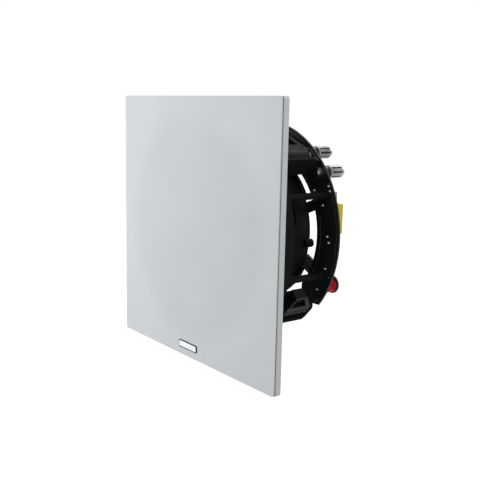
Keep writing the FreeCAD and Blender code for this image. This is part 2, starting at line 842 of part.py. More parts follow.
def make_bobbin(place, radius, height):
    """Moulded spool standing on the board."""
    x, z = on_board(place)
    core = rod(bobbin_core_r, board_rear, board_rear + height, x, z)
    lower = rod(radius, board_rear, board_rear + bobbin_flange, x, z)
    upper = rod(radius, board_rear + height - bobbin_flange, board_rear + height, x, z)
    return joined([core, lower, upper])


def make_winding(place, radius, height):
    """Wound wire between a bobbin's two flanges."""
    x, z = on_board(place)
    start = board_rear + bobbin_flange + seat_clearance
    end = board_rear + height - bobbin_flange - seat_clearance
    return pipe(radius - winding_lip, bobbin_core_r + seat_clearance, start, end, x, z)


def make_woofer_terminal():
    """Strip on the basket's rear floor, between the motor and the basket's edge."""
    strip = block(terminal_r - terminal_depth / 2, terminal_r + terminal_depth / 2,
                  basket_rear, basket_rear + terminal_height, -terminal_width / 2, terminal_width / 2)
    return around(strip, terminal_angle)


def make_lead(z):
    """Short insulated lead that arches from the terminal strip over the board's inner edge."""
    x_start = terminal_r
    x_turn = board_hole_r + board_drop + lead_r + lead_margin
    x_end = x_turn + lead_bend_r
    y_start = basket_rear + terminal_height
    y_bend = board_rear + lead_rise
    y_top = y_bend + lead_bend_r
    corner = lead_bend_r * (1 - math.cos(math.pi / 4))
    turn = 2 * math.pi / lead_sides
    edges = [Part.LineSegment(V(x_start, y_start, z), V(x_start, y_bend, z)),
             Part.Arc(V(x_start, y_bend, z), V(x_start + corner, y_top - corner, z),
                      V(x_start + lead_bend_r, y_top, z)),
             Part.LineSegment(V(x_start + lead_bend_r, y_top, z), V(x_turn, y_top, z)),
             Part.Arc(V(x_turn, y_top, z), V(x_end - corner, y_top - corner, z), V(x_end, y_bend, z)),
             Part.LineSegment(V(x_end, y_bend, z), V(x_end, board_rear, z))]
    path = Part.Wire([edge.toShape() for edge in edges])
    corners = [V(x_start, y_start, z) + V(lead_r * math.cos(k * turn), 0, lead_r * math.sin(k * turn))
               for k in range(lead_sides)]
    section = Part.Face(Part.makePolygon(corners + corners[:1]))
    return around(path.makePipe(section), terminal_angle)


def make_leads(first):
    """Every second lead of the four that lie side by side."""
    levels = [(k - (lead_count - 1) / 2) * lead_pitch for k in range(lead_count)]
    return group([make_lead(z) for z in levels[first::2]])


def build():
    pieces = {
        "grille_sheet": make_grille_sheet(),
        "grille_scrim": make_grille_scrim(),
        "grille_badge": make_grille_badge(),
        "flange": make_flange(),
        "grille_magnets": make_grille_magnets(),
        "chassis": make_chassis(),
        "board_pillars": make_board_pillars(),
        "board_screws": make_board_screws(),
        "crossover_board": make_crossover_board(),
        "post_insulators": make_post_insulators(),
        "post_studs": make_post_studs(),
        "post_nuts": make_post_nuts(),
        "woofer_basket": make_woofer_basket(),
        "woofer_screws": make_woofer_screws(),
        "woofer_gasket": make_woofer_gasket(),
        "woofer_surround": make_woofer_surround(),
        "woofer_spider": make_woofer_spider(),
        "woofer_cone": make_woofer_cone(),
        "voice_coil_former": make_voice_coil_former(),
        "voice_coil_winding": make_voice_coil_winding(),
        "woofer_top_plate": make_woofer_top_plate(),
        "woofer_magnet": make_woofer_magnet(),
        "woofer_yoke": make_woofer_yoke(),
        "woofer_terminal": make_woofer_terminal(),
        "red_leads": make_leads(0),
        "black_leads": make_leads(1),
        "tweeter_post": make_tweeter_post(),
        "tweeter_nut": make_tweeter_nut(),
        "tweeter_cup": make_tweeter_cup(),
        "tweeter_motor": make_tweeter_motor(),
        "tweeter_dome": make_tweeter_dome(),
        "tweeter_faceplate": make_tweeter_faceplate(),
        "film_capacitor": make_film_capacitor(),
        "electrolytic_capacitor": make_electrolytic_capacitor(),
        "resistors": make_resistors(),
        "treble_bobbin": make_bobbin(treble_coil_at, treble_coil_r, treble_coil_height),
        "treble_winding": make_winding(treble_coil_at, treble_coil_r, treble_coil_height),
        "bass_bobbin": make_bobbin(bass_coil_at, bass_coil_r, bass_coil_height),
        "bass_winding": make_winding(bass_coil_at, bass_coil_r, bass_coil_height),
    }
    for number, angle in enumerate(clamp_degrees(), 1):
        pieces[f"clamp_screw_{number}"] = make_clamp_screw(angle)
        pieces[f"clamp_insert_{number}"] = make_clamp_insert(angle)
        pieces[f"clamp_arm_{number}"] = make_clamp_arm(angle)
    for number, (x, z) in enumerate(post_places(), 1):
        pieces[f"post_collar_{number}"] = make_post_collar(x, z)
        pieces[f"post_knob_{number}"] = make_post_knob(x, z)
    return pieces


os.makedirs("parts", exist_ok=True)
for name, shape in build().items():
    shape.exportStep(f"parts/{name}.step")
    print(name, len(shape.Solids), round(shape.Volume, 1), shape.isValid())
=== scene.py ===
# %% [markdown]
# # A square ceiling speaker
# The part is a loudspeaker that is let into a ceiling: a white square grille in front, and behind it a
# black barrel, a woofer with a tweeter on a post, and a crossover board with two binding posts.
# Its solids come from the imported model, so this lesson dresses them: it lights them, gives each one the
# finish of the real material, and replaces the soft or finely made pieces by better meshes.
# The solids could be modelled again here, but then the looks and the physics would drift apart.

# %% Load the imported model
import bpy
import bmesh
import json
import math
from mathutils import Matrix, Vector


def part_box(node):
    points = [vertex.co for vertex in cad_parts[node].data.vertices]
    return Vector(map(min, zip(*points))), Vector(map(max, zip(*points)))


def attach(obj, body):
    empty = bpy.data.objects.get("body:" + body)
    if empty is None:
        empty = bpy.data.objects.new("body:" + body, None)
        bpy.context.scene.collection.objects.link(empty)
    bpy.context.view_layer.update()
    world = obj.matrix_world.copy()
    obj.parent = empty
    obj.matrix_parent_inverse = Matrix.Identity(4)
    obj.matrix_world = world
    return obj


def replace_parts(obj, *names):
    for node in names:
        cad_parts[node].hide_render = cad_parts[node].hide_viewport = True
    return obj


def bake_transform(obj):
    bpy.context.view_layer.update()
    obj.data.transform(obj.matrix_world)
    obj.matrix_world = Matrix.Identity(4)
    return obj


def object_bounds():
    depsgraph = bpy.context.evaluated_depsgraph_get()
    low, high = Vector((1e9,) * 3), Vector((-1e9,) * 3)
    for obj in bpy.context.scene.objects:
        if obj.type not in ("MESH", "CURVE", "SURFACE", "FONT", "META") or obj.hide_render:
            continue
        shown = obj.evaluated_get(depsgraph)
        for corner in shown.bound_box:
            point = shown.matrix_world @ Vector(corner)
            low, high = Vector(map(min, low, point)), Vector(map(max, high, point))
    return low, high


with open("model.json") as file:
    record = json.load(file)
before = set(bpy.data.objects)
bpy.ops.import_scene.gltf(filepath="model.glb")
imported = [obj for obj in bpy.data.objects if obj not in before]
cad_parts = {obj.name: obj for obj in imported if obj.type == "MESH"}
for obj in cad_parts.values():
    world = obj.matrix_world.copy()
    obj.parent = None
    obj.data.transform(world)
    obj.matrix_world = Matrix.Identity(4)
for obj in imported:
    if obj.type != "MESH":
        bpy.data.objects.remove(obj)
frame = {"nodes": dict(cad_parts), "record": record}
cad_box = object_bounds()
solids = frame["nodes"]
scene = bpy.context.scene
MM = 0.001
print(len(solids), "solids, box", [round((b - a) / MM, 1) for a, b in zip(*cad_box)], "mm")

# %% [markdown]
# ## The camera
# The photograph looks at the right-hand side of the speaker from a little above. Its lens and place were
# worked out from the four corners of the square panel. A camera could be aimed with a constraint, but the
# picture is also rolled by about a degree, so the three axes of the camera are written out here.

# %% Camera at the photograph's place
yaw, pitch, roll = (math.radians(angle) for angle in (52.16, 9.94, -1.204))
LENS, SENSOR = 56.58, 36.0
CAMERA_PLACE = (0.5355, -0.3697, 0.1058)
level = math.cos(pitch)
forward = Vector((-math.sin(yaw) * level, math.cos(yaw) * level, -math.sin(pitch)))
right = Vector((math.cos(yaw), math.sin(yaw), 0.0))
down = forward.cross(right)
across = right * math.cos(roll) + down * math.sin(roll)
below = down * math.cos(roll) - right * math.sin(roll)
lens_data = bpy.data.cameras.new("photo_camera")
lens_data.sensor_width = SENSOR
lens_data.lens = LENS
camera = bpy.data.objects.new("photo_camera", lens_data)
turn = Matrix((across, -below, -forward)).transposed().to_4x4()
camera.matrix_world = Matrix.Translation(CAMERA_PLACE) @ turn
scene.collection.objects.link(camera)
scene.camera = camera
scene.view_settings.view_transform = "Standard"
print("camera at", [round(v, 4) for v in camera.location])

# %% [markdown]
# ## Small helpers for shader nodes
# Every finish below is made of shader nodes. Placing and linking them by hand takes three lines each, so
# one helper places a node, sets its inputs and links what is handed to it. The others name the steps that
# come back again and again.

# %% Helpers that place nodes
def put(tree, kind, inputs=None, **settings):
    """Adds a node; an input that is a socket is linked, and any other is set."""
    made = tree.nodes.new(kind)
    for key, value in settings.items():
        setattr(made, key, value)
    for key, value in (inputs or {}).items():
        if isinstance(value, bpy.types.NodeSocket):
            tree.links.new(value, made.inputs[key])
        else:
            made.inputs[key].default_value = value
    return made


def effect(name, inputs, outputs):
    """An empty node group with named values in and values out."""
    group = bpy.data.node_groups.new(name, "ShaderNodeTree")
    sockets = group.interface
    for label, value in inputs:
        sockets.new_socket(label, in_out="INPUT", socket_type="NodeSocketFloat").default_value = value
    for label in outputs:
        sockets.new_socket(label, in_out="OUTPUT", socket_type="NodeSocketFloat")
    return group, group.nodes.new("NodeGroupInput").outputs, group.nodes.new("NodeGroupOutput").inputs


def place(tree, group, **values):
    """Puts a finished effect into a material with its own values."""
    made = put(tree, "ShaderNodeGroup", node_tree=group)
    for key, value in values.items():
        made.inputs[key].default_value = value
    return made.outputs


print("node helpers ready")

# %% Helpers that work out values
def calc(tree, operation, first, second=0.0):
    """One step of arithmetic on two values."""
    return put(tree, "ShaderNodeMath", {0: first, 1: second}, operation=operation).outputs[0]


def least(tree, values):
    """The smallest of several values."""
    smallest = values[0]
    for value in values[1:]:
        smallest = calc(tree, "MINIMUM", smallest, value)
    return smallest


def distance(tree, dx, dz):
    """How far a point lies from an axis along Y."""
    squares = calc(tree, "ADD", calc(tree, "MULTIPLY", dx, dx), calc(tree, "MULTIPLY", dz, dz))
    return calc(tree, "SQRT", squares)


def mix(tree, share, first, second):
    """Blend of two colours by a share from 0 to 1."""
    made = put(tree, "ShaderNodeMix", {0: share, 6: first, 7: second}, data_type="RGBA")
    return made.outputs[2]


def spread(tree, value, low, high, new_low=0.0, new_high=1.0):
    """A value stretched from one range to another, held inside it."""
    made = put(tree, "ShaderNodeMapRange", {0: value, 1: low, 2: high, 3: new_low, 4: new_high})
    return made.outputs[0]


def position(tree):
    """The point that is shaded, in metres in the piece's own axes."""
    return put(tree, "ShaderNodeTexCoord").outputs["Object"]


def normal(tree):
    """The direction that the surface faces."""
    return put(tree, "ShaderNodeNewGeometry").outputs["Normal"]


def axes(tree, vector):
    """X, Y and Z of a vector."""
    return put(tree, "ShaderNodeSeparateXYZ", {0: vector}).outputs


def noise(tree, where, scale, detail):
    """Cloudy values from 0 to 1, with so many clouds a metre."""
    inputs = {"Vector": where, "Scale": scale, "Detail": detail}
    return put(tree, "ShaderNodeTexNoise", inputs).outputs["Fac"]


print("value helpers ready")

# %% [markdown]
# ## Studio
# The photograph has a pure white ground and soft light that comes mostly from the left, so the panel is a
# shade brighter at its left edge. A big softbox to the left gives that fall-off, a weak one lights the
# narrow right-hand side and one the back, and an even grey-white world fills the rest. The left softbox
# hangs so low that the floor would hide its lower part and darken the panel's foot, so the floor casts no
# shadow. The white ground is only in what the camera and the reflections see. More lamps would whiten it
# too, but would bleach the panel.

# %% White world
WHITE = (1.0, 1.0, 1.0, 1.0)
FILL_LIGHT = (0.93, 0.965, 1.0, 1.0)
FILL_STRENGTH = 0.46


def seen_directly(tree):
    """1 for rays from the camera, a mirror or glass, and 0 for light that bounces."""
    path = put(tree, "ShaderNodeLightPath").outputs
    either = calc(tree, "MAXIMUM", path["Is Camera Ray"], path["Is Glossy Ray"])
    return calc(tree, "MAXIMUM", either, path["Is Transmission Ray"])


world = bpy.data.worlds.new("white_studio")
scene.world = world
world.use_nodes = True
tree = world.node_tree
tree.nodes.clear()
fill = put(tree, "ShaderNodeBackground", {"Color": FILL_LIGHT, "Strength": FILL_STRENGTH})
ground = put(tree, "ShaderNodeBackground", {"Color": WHITE, "Strength": 1.0})
both = put(tree, "ShaderNodeMixShader", {0: seen_directly(tree), 1: fill.outputs[0], 2: ground.outputs[0]})
put(tree, "ShaderNodeOutputWorld", {"Surface": both.outputs[0]})
print("world of strength", FILL_STRENGTH)

# %% White floor
FLOOR_LEVEL, FLOOR_SIDE = cad_box[0][2], 6.0
FLOOR_GLOW = 0.88
FLOOR_SHADE = (0.32, 0.32, 0.32, 1.0)
edge = FLOOR_SIDE / 2
corners = [(x, y, FLOOR_LEVEL) for x, y in ((-edge, -edge), (edge, -edge), (edge, edge), (-edge, edge))]
floor_mesh = bpy.data.meshes.new("floor")
floor_mesh.from_pydata(corners, [], [(0, 1, 2, 3)])
floor = bpy.data.objects.new("floor", floor_mesh)
scene.collection.objects.link(floor)
floor_finish = bpy.data.materials.new("white_ground")
floor_finish.use_nodes = True
tree = floor_finish.node_tree
tree.nodes.clear()
matt = put(tree, "ShaderNodeBsdfDiffuse", {"Color": FLOOR_SHADE})
shine = calc(tree, "MULTIPLY", seen_directly(tree), FLOOR_GLOW)
glow = put(tree, "ShaderNodeEmission", {"Color": WHITE, "Strength": shine})
both = put(tree, "ShaderNodeAddShader", {0: matt.outputs[0], 1: glow.outputs[0]})
put(tree, "ShaderNodeOutputMaterial", {"Surface": both.outputs[0]})
floor_mesh.materials.append(floor_finish)
floor.visible_shadow = False
print("floor at", round(FLOOR_LEVEL, 4))

# %% Softboxes
def softbox(name, at, aim, side, power):
    """A square area lamp that faces a point."""
    lamp = bpy.data.lights.new(name, "AREA")
    lamp.shape = "SQUARE"
    lamp.size = side
    lamp.energy = power
    holder = bpy.data.objects.new(name, lamp)
    holder.location = at
    holder.rotation_euler = (Vector(aim) - Vector(at)).to_track_quat("-Z", "Y").to_euler()
    scene.collection.objects.link(holder)
    print(name, power, "W")


softbox("left_softbox", at=(-0.85, -0.8, 0.06), aim=(-0.05, 0.0, 0.0), side=0.9, power=9.2)
softbox("right_softbox", at=(1.5, 0.25, 0.9), aim=(0.05, 0.03, 0.0), side=0.8, power=6.3)
softbox("rear_softbox", at=(-0.3, 1.5, 0.75), aim=(0.0, 0.05, 0.0), side=1.0, power=9.0)

# %% [markdown]
# ## Effects that several finishes share
# Moulded plastic has a fine grain and slow changes of tone, handled edges are worn smooth, dust settles on
# what faces up, cloth is woven and rolled metal has fine lines along it. Each is a node group that is built
# once. Painted image maps could hold them too, but a group works on any mesh with no unwrapping.

# %% Grain and tone
TONE_NOISE = (0.3, 0.7)
grain, inside, out = effect("grain_and_tone", [("Grains per metre", 2000.0), ("Clouds per metre", 40.0)],
                            ["Height", "Tone"])
where = position(grain)
fine = noise(grain, where, inside["Grains per metre"], detail=3.0)
slow = noise(grain, where, inside["Clouds per metre"], detail=2.0)
grain.links.new(fine, out["Height"])
grain.links.new(spread(grain, slow, *TONE_NOISE), out["Tone"])
print(grain.name, "made")

# %% Worn edges
SHARP_EDGE, WORN_PATCHES = (0.995, 0.8), (0.35, 0.6)
worn, inside, out = effect("worn_edges", [("Radius", 0.0006), ("Patches per metre", 300.0)], ["Mask"])
rounded = put(worn, "ShaderNodeBevel", {"Radius": inside["Radius"]}, samples=4).outputs[0]
both = put(worn, "ShaderNodeVectorMath", {0: normal(worn), 1: rounded}, operation="DOT_PRODUCT")
near_edge = spread(worn, both.outputs["Value"], *SHARP_EDGE)
patch = noise(worn, position(worn), inside["Patches per metre"], detail=2.0)
patch = spread(worn, patch, *WORN_PATCHES)
worn.links.new(calc(worn, "MULTIPLY", near_edge, patch), out["Mask"])
print(worn.name, "made")

# %% Settled dust
DUST_SLOPE, DUST_PATCHES = (0.2, 0.9), (0.3, 0.75)
dust, inside, out = effect("settled_dust", [("Patches per metre", 120.0)], ["Mask"])
upward = spread(dust, axes(dust, normal(dust))["Z"], *DUST_SLOPE)
patch = noise(dust, position(dust), inside["Patches per metre"], detail=4.0)
patch = spread(dust, patch, *DUST_PATCHES)
dust.links.new(calc(dust, "MULTIPLY", upward, patch), out["Mask"])
print(dust.name, "made")

# %% Drawn lines of rolled or turned metal
METAL_CLOUDS = 90.0
ALONG = ("Along X", "Along Y", "Along Z")
drawn, inside, out = effect("drawn_lines", [("Lines per metre", 4000.0), *((label, 1.0) for label in ALONG)],
                            ["Height", "Tone"])
where = position(drawn)
pulled = put(drawn, "ShaderNodeCombineXYZ", {k: inside[label] for k, label in enumerate(ALONG)}).outputs[0]
scaled = put(drawn, "ShaderNodeVectorMath", {0: where, 1: pulled}, operation="MULTIPLY").outputs[0]
fine = noise(drawn, scaled, inside["Lines per metre"], detail=2.0)
slow = noise(drawn, where, METAL_CLOUDS, detail=2.0)
drawn.links.new(fine, out["Height"])
drawn.links.new(spread(drawn, slow, *TONE_NOISE), out["Tone"])
print(drawn.name, "made")

# %% Plain weave
OVER_UNDER = 0.4
weave, inside, out = effect("plain_weave", [("Threads per metre", 1500.0)], ["Height", "Thread"])
where = axes(weave, position(weave))
waves = []
for axis in ("X", "Z"):
    count = calc(weave, "MULTIPLY", where[axis], inside["Threads per metre"])
    waves.append(calc(weave, "SINE", calc(weave, "MULTIPLY", count, math.pi)))
over = calc(weave, "MULTIPLY", *waves)
threads = calc(weave, "MULTIPLY", *(calc(weave, "ABSOLUTE", wave) for wave in waves))
weave.links.new(calc(weave, "ADD", threads, calc(weave, "MULTIPLY", over, OVER_UNDER)), out["Height"])
weave.links.new(threads, out["Thread"])
print(weave.name, "made")

# %% [markdown]
# ## Plastics, rubber and paper
# The chassis, basket, clamps and tweeter are black mouldings with a dull spark-eroded skin. One recipe
# makes them all: a dark colour that drifts a little, grain as bump, edges rubbed a shade lighter and a
# trace of dust. Rubber, foam and pressed paper are the same recipe with other values.

# %% Steps of every finish
finishes = {}
BY_TONE, BY_HEIGHT = (0.0, 1.0), (0.2, 0.8)


def start(name):
    """A material with an empty principled shader."""
    material = bpy.data.materials.new(name)
    material.use_nodes = True
    nodes = material.node_tree
    nodes.nodes.clear()
    shader = put(nodes, "ShaderNodeBsdfPrincipled")
    put(nodes, "ShaderNodeOutputMaterial", {"Surface": shader.outputs[0]})
    finishes[name] = material
    return nodes, shader


def rgba(colour):
    """A colour with full cover."""
    return (*colour, 1.0)


def tint(nodes, shader, colour):
    """Sends a colour to the shader."""
    nodes.links.new(colour, shader.inputs["Base Color"])


def roughen(nodes, shader, value, within, low, high):
    """Lets the roughness follow a value through its range."""
    nodes.links.new(spread(nodes, value, *within, low, high), shader.inputs["Roughness"])


def raise_surface(nodes, shader, height, depth, strength=1.0):
    """Sends a height to the shader as bump of a depth in metres."""
    bump = put(nodes, "ShaderNodeBump", {"Height": height, "Distance": depth, "Strength": strength})
    nodes.links.new(bump.outputs[0], shader.inputs["Normal"])


print("finish helpers ready")

# %% Recipe for moulded pieces
DUST_COLOUR = (0.35, 0.34, 0.33)
MOULDED_DRIFT = 0.06


def moulded(name, colour, tone, rough, grains, depth, gloss, wear=None, dusty=0.0):
    """Dull moulded plastic, rubber or paper."""
    nodes, shader = start(name)
    skin = place(nodes, grain, **{"Grains per metre": grains})
    colour_now = mix(nodes, skin["Tone"], rgba(colour), rgba(tone))
    if wear:
        colour_now = mix(nodes, place(nodes, worn)["Mask"], colour_now, rgba(wear))
    if dusty:
        powder = calc(nodes, "MULTIPLY", place(nodes, dust)["Mask"], dusty)
        colour_now = mix(nodes, powder, colour_now, rgba(DUST_COLOUR))
    tint(nodes, shader, colour_now)
    roughen(nodes, shader, skin["Tone"], BY_TONE, rough - MOULDED_DRIFT, rough + MOULDED_DRIFT)
    shader.inputs["Specular IOR Level"].default_value = gloss
    raise_surface(nodes, shader, skin["Height"], depth)
    return nodes, shader


moulded("black_moulding", (0.005, 0.0052, 0.0053), (0.008, 0.0082, 0.0084), rough=0.74, grains=2600.0,
        depth=0.00006, gloss=0.08, wear=(0.025, 0.025, 0.026), dusty=0.006)
moulded("clamp_moulding", (0.006, 0.006, 0.0062), (0.009, 0.009, 0.0093), rough=0.55, grains=2200.0,
        depth=0.00005, gloss=0.1, wear=(0.03, 0.03, 0.031), dusty=0.02)
moulded("black_gloss", (0.005, 0.005, 0.0055), (0.008, 0.008, 0.0085), rough=0.25, grains=900.0,
        depth=0.00001, gloss=0.18, wear=(0.03, 0.03, 0.03))
moulded("rubber", (0.012, 0.012, 0.012), (0.018, 0.018, 0.018), rough=0.62, grains=1500.0,
        depth=0.00003, gloss=0.25)
moulded("foam", (0.02, 0.02, 0.02), (0.032, 0.032, 0.031), rough=0.9, grains=1100.0,
        depth=0.00022, gloss=0.1)
moulded("cone_paper", (0.03, 0.03, 0.032), (0.045, 0.045, 0.047), rough=0.72, grains=1400.0,
        depth=0.00009, gloss=0.2)
moulded("dome_silk", (0.02, 0.02, 0.023), (0.03, 0.03, 0.033), rough=0.42, grains=3000.0,
        depth=0.00004, gloss=0.35)
moulded("cement", (0.62, 0.64, 0.44), (0.7, 0.71, 0.55), rough=0.85, grains=1300.0,
        depth=0.00012, gloss=0.2, wear=(0.78, 0.78, 0.68))
moulded("bobbin_moulding", (0.035, 0.032, 0.033), (0.05, 0.046, 0.047), rough=0.36, grains=1800.0,
        depth=0.00003, gloss=0.35, wear=(0.2, 0.19, 0.19))
moulded("black_sleeve", (0.012, 0.012, 0.014), (0.018, 0.018, 0.02), rough=0.28, grains=700.0,
        depth=0.00003, gloss=0.4)
moulded("ferrite", (0.02, 0.02, 0.021), (0.035, 0.035, 0.036), rough=0.6, grains=1700.0,
        depth=0.0001, gloss=0.3, wear=(0.06, 0.06, 0.06))
moulded("red_wire", (0.22, 0.17, 0.17), (0.29, 0.225, 0.22), rough=0.38, grains=900.0,
        depth=0.00002, gloss=0.35)
moulded("black_wire", (0.12, 0.128, 0.122), (0.17, 0.18, 0.174), rough=0.38, grains=900.0,
        depth=0.00002, gloss=0.35)
print(len(finishes), "moulded finishes")

# %% [markdown]
# ## White panel
# The grille is a steel sheet with holes of under a millimetre, powder coated white, and the flange behind
# it is a white moulding. At the photograph's size a hole is smaller than a pixel, so what shows is a soft
# tone: over the round opening the holes look into the dark, and at the corners white plastic lies behind
# the open cloth. Cutting some fifty thousand holes would make a heavy mesh, so a pattern of discs gives the
# bump and the tone. The dark in the holes is the black cloth and painted shade of the hollow behind it,
# strongest over the round opening.

# %% Pattern of holes
HOLE_PITCH = 0.00105
HOLE_SHARE, HOLE_BLUR, RIM_BLUR = 0.3, 0.06, 0.1
ROW_PITCH = math.sqrt(3)
holes, inside, out = effect("perforation", [("Pitch", HOLE_PITCH), ("Radius", HOLE_SHARE)],
                            ["Hole", "Height"])
where = axes(holes, position(holes))
column = calc(holes, "DIVIDE", where["X"], inside["Pitch"])
row = calc(holes, "DIVIDE", calc(holes, "DIVIDE", where["Z"], inside["Pitch"]), ROW_PITCH)
centres = []
for shift in (0.0, 0.5):
    dx, dz = (calc(holes, "SUBTRACT", calc(holes, "FRACT", calc(holes, "ADD", count, shift)), 0.5)
              for count in (column, row))
    centres.append(distance(holes, dx, calc(holes, "MULTIPLY", dz, ROW_PITCH)))
from_rim = calc(holes, "SUBTRACT", least(holes, centres), inside["Radius"])
holes.links.new(spread(holes, from_rim, HOLE_BLUR, -HOLE_BLUR), out["Hole"])
holes.links.new(spread(holes, from_rim, -RIM_BLUR, RIM_BLUR), out["Height"])
print("holes", HOLE_PITCH / MM, "mm apart")

# %% Perforated white sheet
SHEET_WHITE, SHEET_DRIFT, DRIFT_SHARE = (0.775, 0.806, 0.82), (0.76, 0.79, 0.806), 0.6
HOLE_CLOTH_AND_SHADE, SHEET_BACK_SHADE = (0.05, 0.055, 0.06), (0.03, 0.03, 0.03)
OPENING_FROM_R, OPENING_FULL_R = 0.106, 0.086
CORNER_SHADE, OPENING_SHADE = 0.05, 0.24
SHEET_ROUGH, SHEET_GLOSS, COAT_SHARE = (0.5, 0.6), 0.3, 0.06
FLAT_SIDE, BACK_SIDE = (0.7, 0.95), (0.7, 0.9)
nodes, shader = start("white_steel")
pattern = place(nodes, holes)
coat = place(nodes, grain, **{"Grains per metre": 3500.0, "Clouds per metre": 18.0})
where = axes(nodes, position(nodes))
from_axis = distance(nodes, where["X"], where["Z"])
# painted shade of the hollow behind the holes, darkest over the round opening
hollow_shade = spread(nodes, from_axis, OPENING_FROM_R, OPENING_FULL_R, CORNER_SHADE, OPENING_SHADE)
facing = axes(nodes, normal(nodes))["Y"]
flat_side = spread(nodes, calc(nodes, "ABSOLUTE", facing), *FLAT_SIDE)
shade = calc(nodes, "MULTIPLY", calc(nodes, "MULTIPLY", pattern["Hole"], hollow_shade), flat_side)
drift = calc(nodes, "MULTIPLY", coat["Tone"], DRIFT_SHARE)
paint = mix(nodes, drift, rgba(SHEET_WHITE), rgba(SHEET_DRIFT))
paint = mix(nodes, shade, paint, rgba(HOLE_CLOTH_AND_SHADE))
# painted shade: the back of the sheet is near black
tint(nodes, shader, mix(nodes, spread(nodes, facing, *BACK_SIDE), paint, rgba(SHEET_BACK_SHADE)))
roughen(nodes, shader, coat["Tone"], BY_TONE, *SHEET_ROUGH)
shader.inputs["Specular IOR Level"].default_value = SHEET_GLOSS
coating = calc(nodes, "MULTIPLY", coat["Height"], COAT_SHARE)
bumps = calc(nodes, "ADD", calc(nodes, "MULTIPLY", pattern["Height"], flat_side), coating)
raise_surface(nodes, shader, bumps, depth=0.0001, strength=0.35)
print("sheet finish made")

# %% [markdown]
# The flange's rim is white too, but the step under the sheet is painted near black as shade, so that
# the sheet seems to float before the rim. The photograph shows it as one dark line. The painted shade is
# found by where a point lies: behind the sheet's edge, outside the land that carries the sheet.

# %% White flange with painted shade on its step
STEP_FROM, STEP_FROM_BLUR = 0.1122, 0.0001
STEP_DEPTH, STEP_DEPTH_BLUR = -0.00525, 0.00003
STEP_PAINTED_SHADE = (0.012, 0.012, 0.012)
nodes, shader = moulded("white_moulding", (0.80, 0.80, 0.805), (0.83, 0.83, 0.83), rough=0.48, grains=2400.0,
                        depth=0.00003, gloss=0.35)
where = axes(nodes, position(nodes))
outward = calc(nodes, "MAXIMUM", *(calc(nodes, "ABSOLUTE", where[axis]) for axis in ("X", "Z")))
beyond = spread(nodes, outward, STEP_FROM - STEP_FROM_BLUR, STEP_FROM + STEP_FROM_BLUR)
before = spread(nodes, where["Y"], STEP_DEPTH + STEP_DEPTH_BLUR, STEP_DEPTH - STEP_DEPTH_BLUR)
white = shader.inputs["Base Color"].links[0].from_socket
# painted shade: the step behind the sheet's edge is near black
tint(nodes, shader, mix(nodes, calc(nodes, "MULTIPLY", beyond, before), white, rgba(STEP_PAINTED_SHADE)))
print("flange finish made")

# %% [markdown]
# ## Metals
# The binding posts are bright plated, the screws zinc plated, the coils copper, and the motor's plates are
# turned steel. Turning and rolling leave fine lines, so each metal takes the drawn-line effect with its own
# direction. Anisotropic shading could hint at them as well, but here they are real bump.

# %% Recipe for metals
TURNED, ALONG_AXIS, ALONG_WIDTH = (1.0, 1.0, 1.0), (1.0, 0.06, 1.0), (0.04, 1.0, 1.0)
METAL_EDGE, METAL_DRIFT = 0.0003, 0.05


def metal(name, colour, tone, rough, lines, depth=0.00001, along=TURNED, wear=None):
    """Plated, rolled or turned metal."""
    nodes, shader = start(name)
    surface = place(nodes, drawn, **{"Lines per metre": lines, **dict(zip(ALONG, along))})
    colour_now = mix(nodes, surface["Tone"], rgba(colour), rgba(tone))
    if wear:
        colour_now = mix(nodes, place(nodes, worn, Radius=METAL_EDGE)["Mask"], colour_now, rgba(wear))
    tint(nodes, shader, colour_now)
    roughen(nodes, shader, surface["Height"], BY_HEIGHT, rough - METAL_DRIFT, rough + METAL_DRIFT)
    shader.inputs["Metallic"].default_value = 1.0
    raise_surface(nodes, shader, surface["Height"], depth)


metal("nickel", (0.6, 0.59, 0.56), (0.7, 0.69, 0.66), rough=0.25, lines=3000.0)
metal("zinc", (0.5, 0.51, 0.53), (0.62, 0.63, 0.64), rough=0.32, lines=2500.0, wear=(0.75, 0.75, 0.76))
metal("black_zinc", (0.035, 0.035, 0.038), (0.06, 0.06, 0.064), rough=0.4, lines=2500.0, wear=(0.2, 0.2, 0.2))
metal("thin_aluminium", (0.7, 0.7, 0.71), (0.78, 0.78, 0.79), rough=0.3, lines=2500.0, along=ALONG_AXIS)
metal("plated_steel", (0.4, 0.4, 0.41), (0.52, 0.52, 0.53), rough=0.35, lines=1800.0, depth=0.00002,
      wear=(0.65, 0.65, 0.66))
metal("yoke_steel", (0.04, 0.04, 0.042), (0.06, 0.06, 0.062), rough=0.42, lines=1800.0, depth=0.00002,
      wear=(0.18, 0.18, 0.18))
metal("copper", (0.6, 0.23, 0.09), (0.7, 0.3, 0.13), rough=0.3, lines=2200.0)
metal("red_copper", (0.24, 0.006, 0.02), (0.34, 0.016, 0.035), rough=0.22, lines=2200.0)
metal("bright_plate", (0.66, 0.66, 0.67), (0.74, 0.74, 0.75), rough=0.34, lines=5000.0, along=ALONG_WIDTH,
      wear=(0.8, 0.8, 0.8))
print(len(finishes), "finishes so far")

# %% [markdown]
# ## Plated post caps
# The caps of the binding posts are bright plated, with eight flutes that are painted dark: painted shade
# and dark reflections in the grooves. Chrome shows what is around it, and a white studio would leave it
# nearly white, so its own colour is a mid grey. The painted flutes are found by their distance from the
# axis of the nearest post, which the solids' boxes give.

# %% Plated metal with painted shade in the flutes
PLATE_DARK, PLATE_LIGHT = (0.14, 0.142, 0.146), (0.34, 0.345, 0.35)
PLATE_WORN, FLUTE_PAINTED_SHADE = (0.6, 0.61, 0.63), (0.012, 0.012, 0.013)
NOSE_LONG, FLUTE_FROM, FLUTE_FULL, FLUTE_END_BLUR = 2.9, 0.1, 0.4, 0.3
PLATE_ROUGH = (0.12, 0.22)


def measured(node):
    """Middle of a node, its half width, front and rear, in millimetres."""
    low, high = (Vector(point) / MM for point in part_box(node))
    half = (high - low) / 2
    return low + half, max(half.x, half.z), low.y, high.y


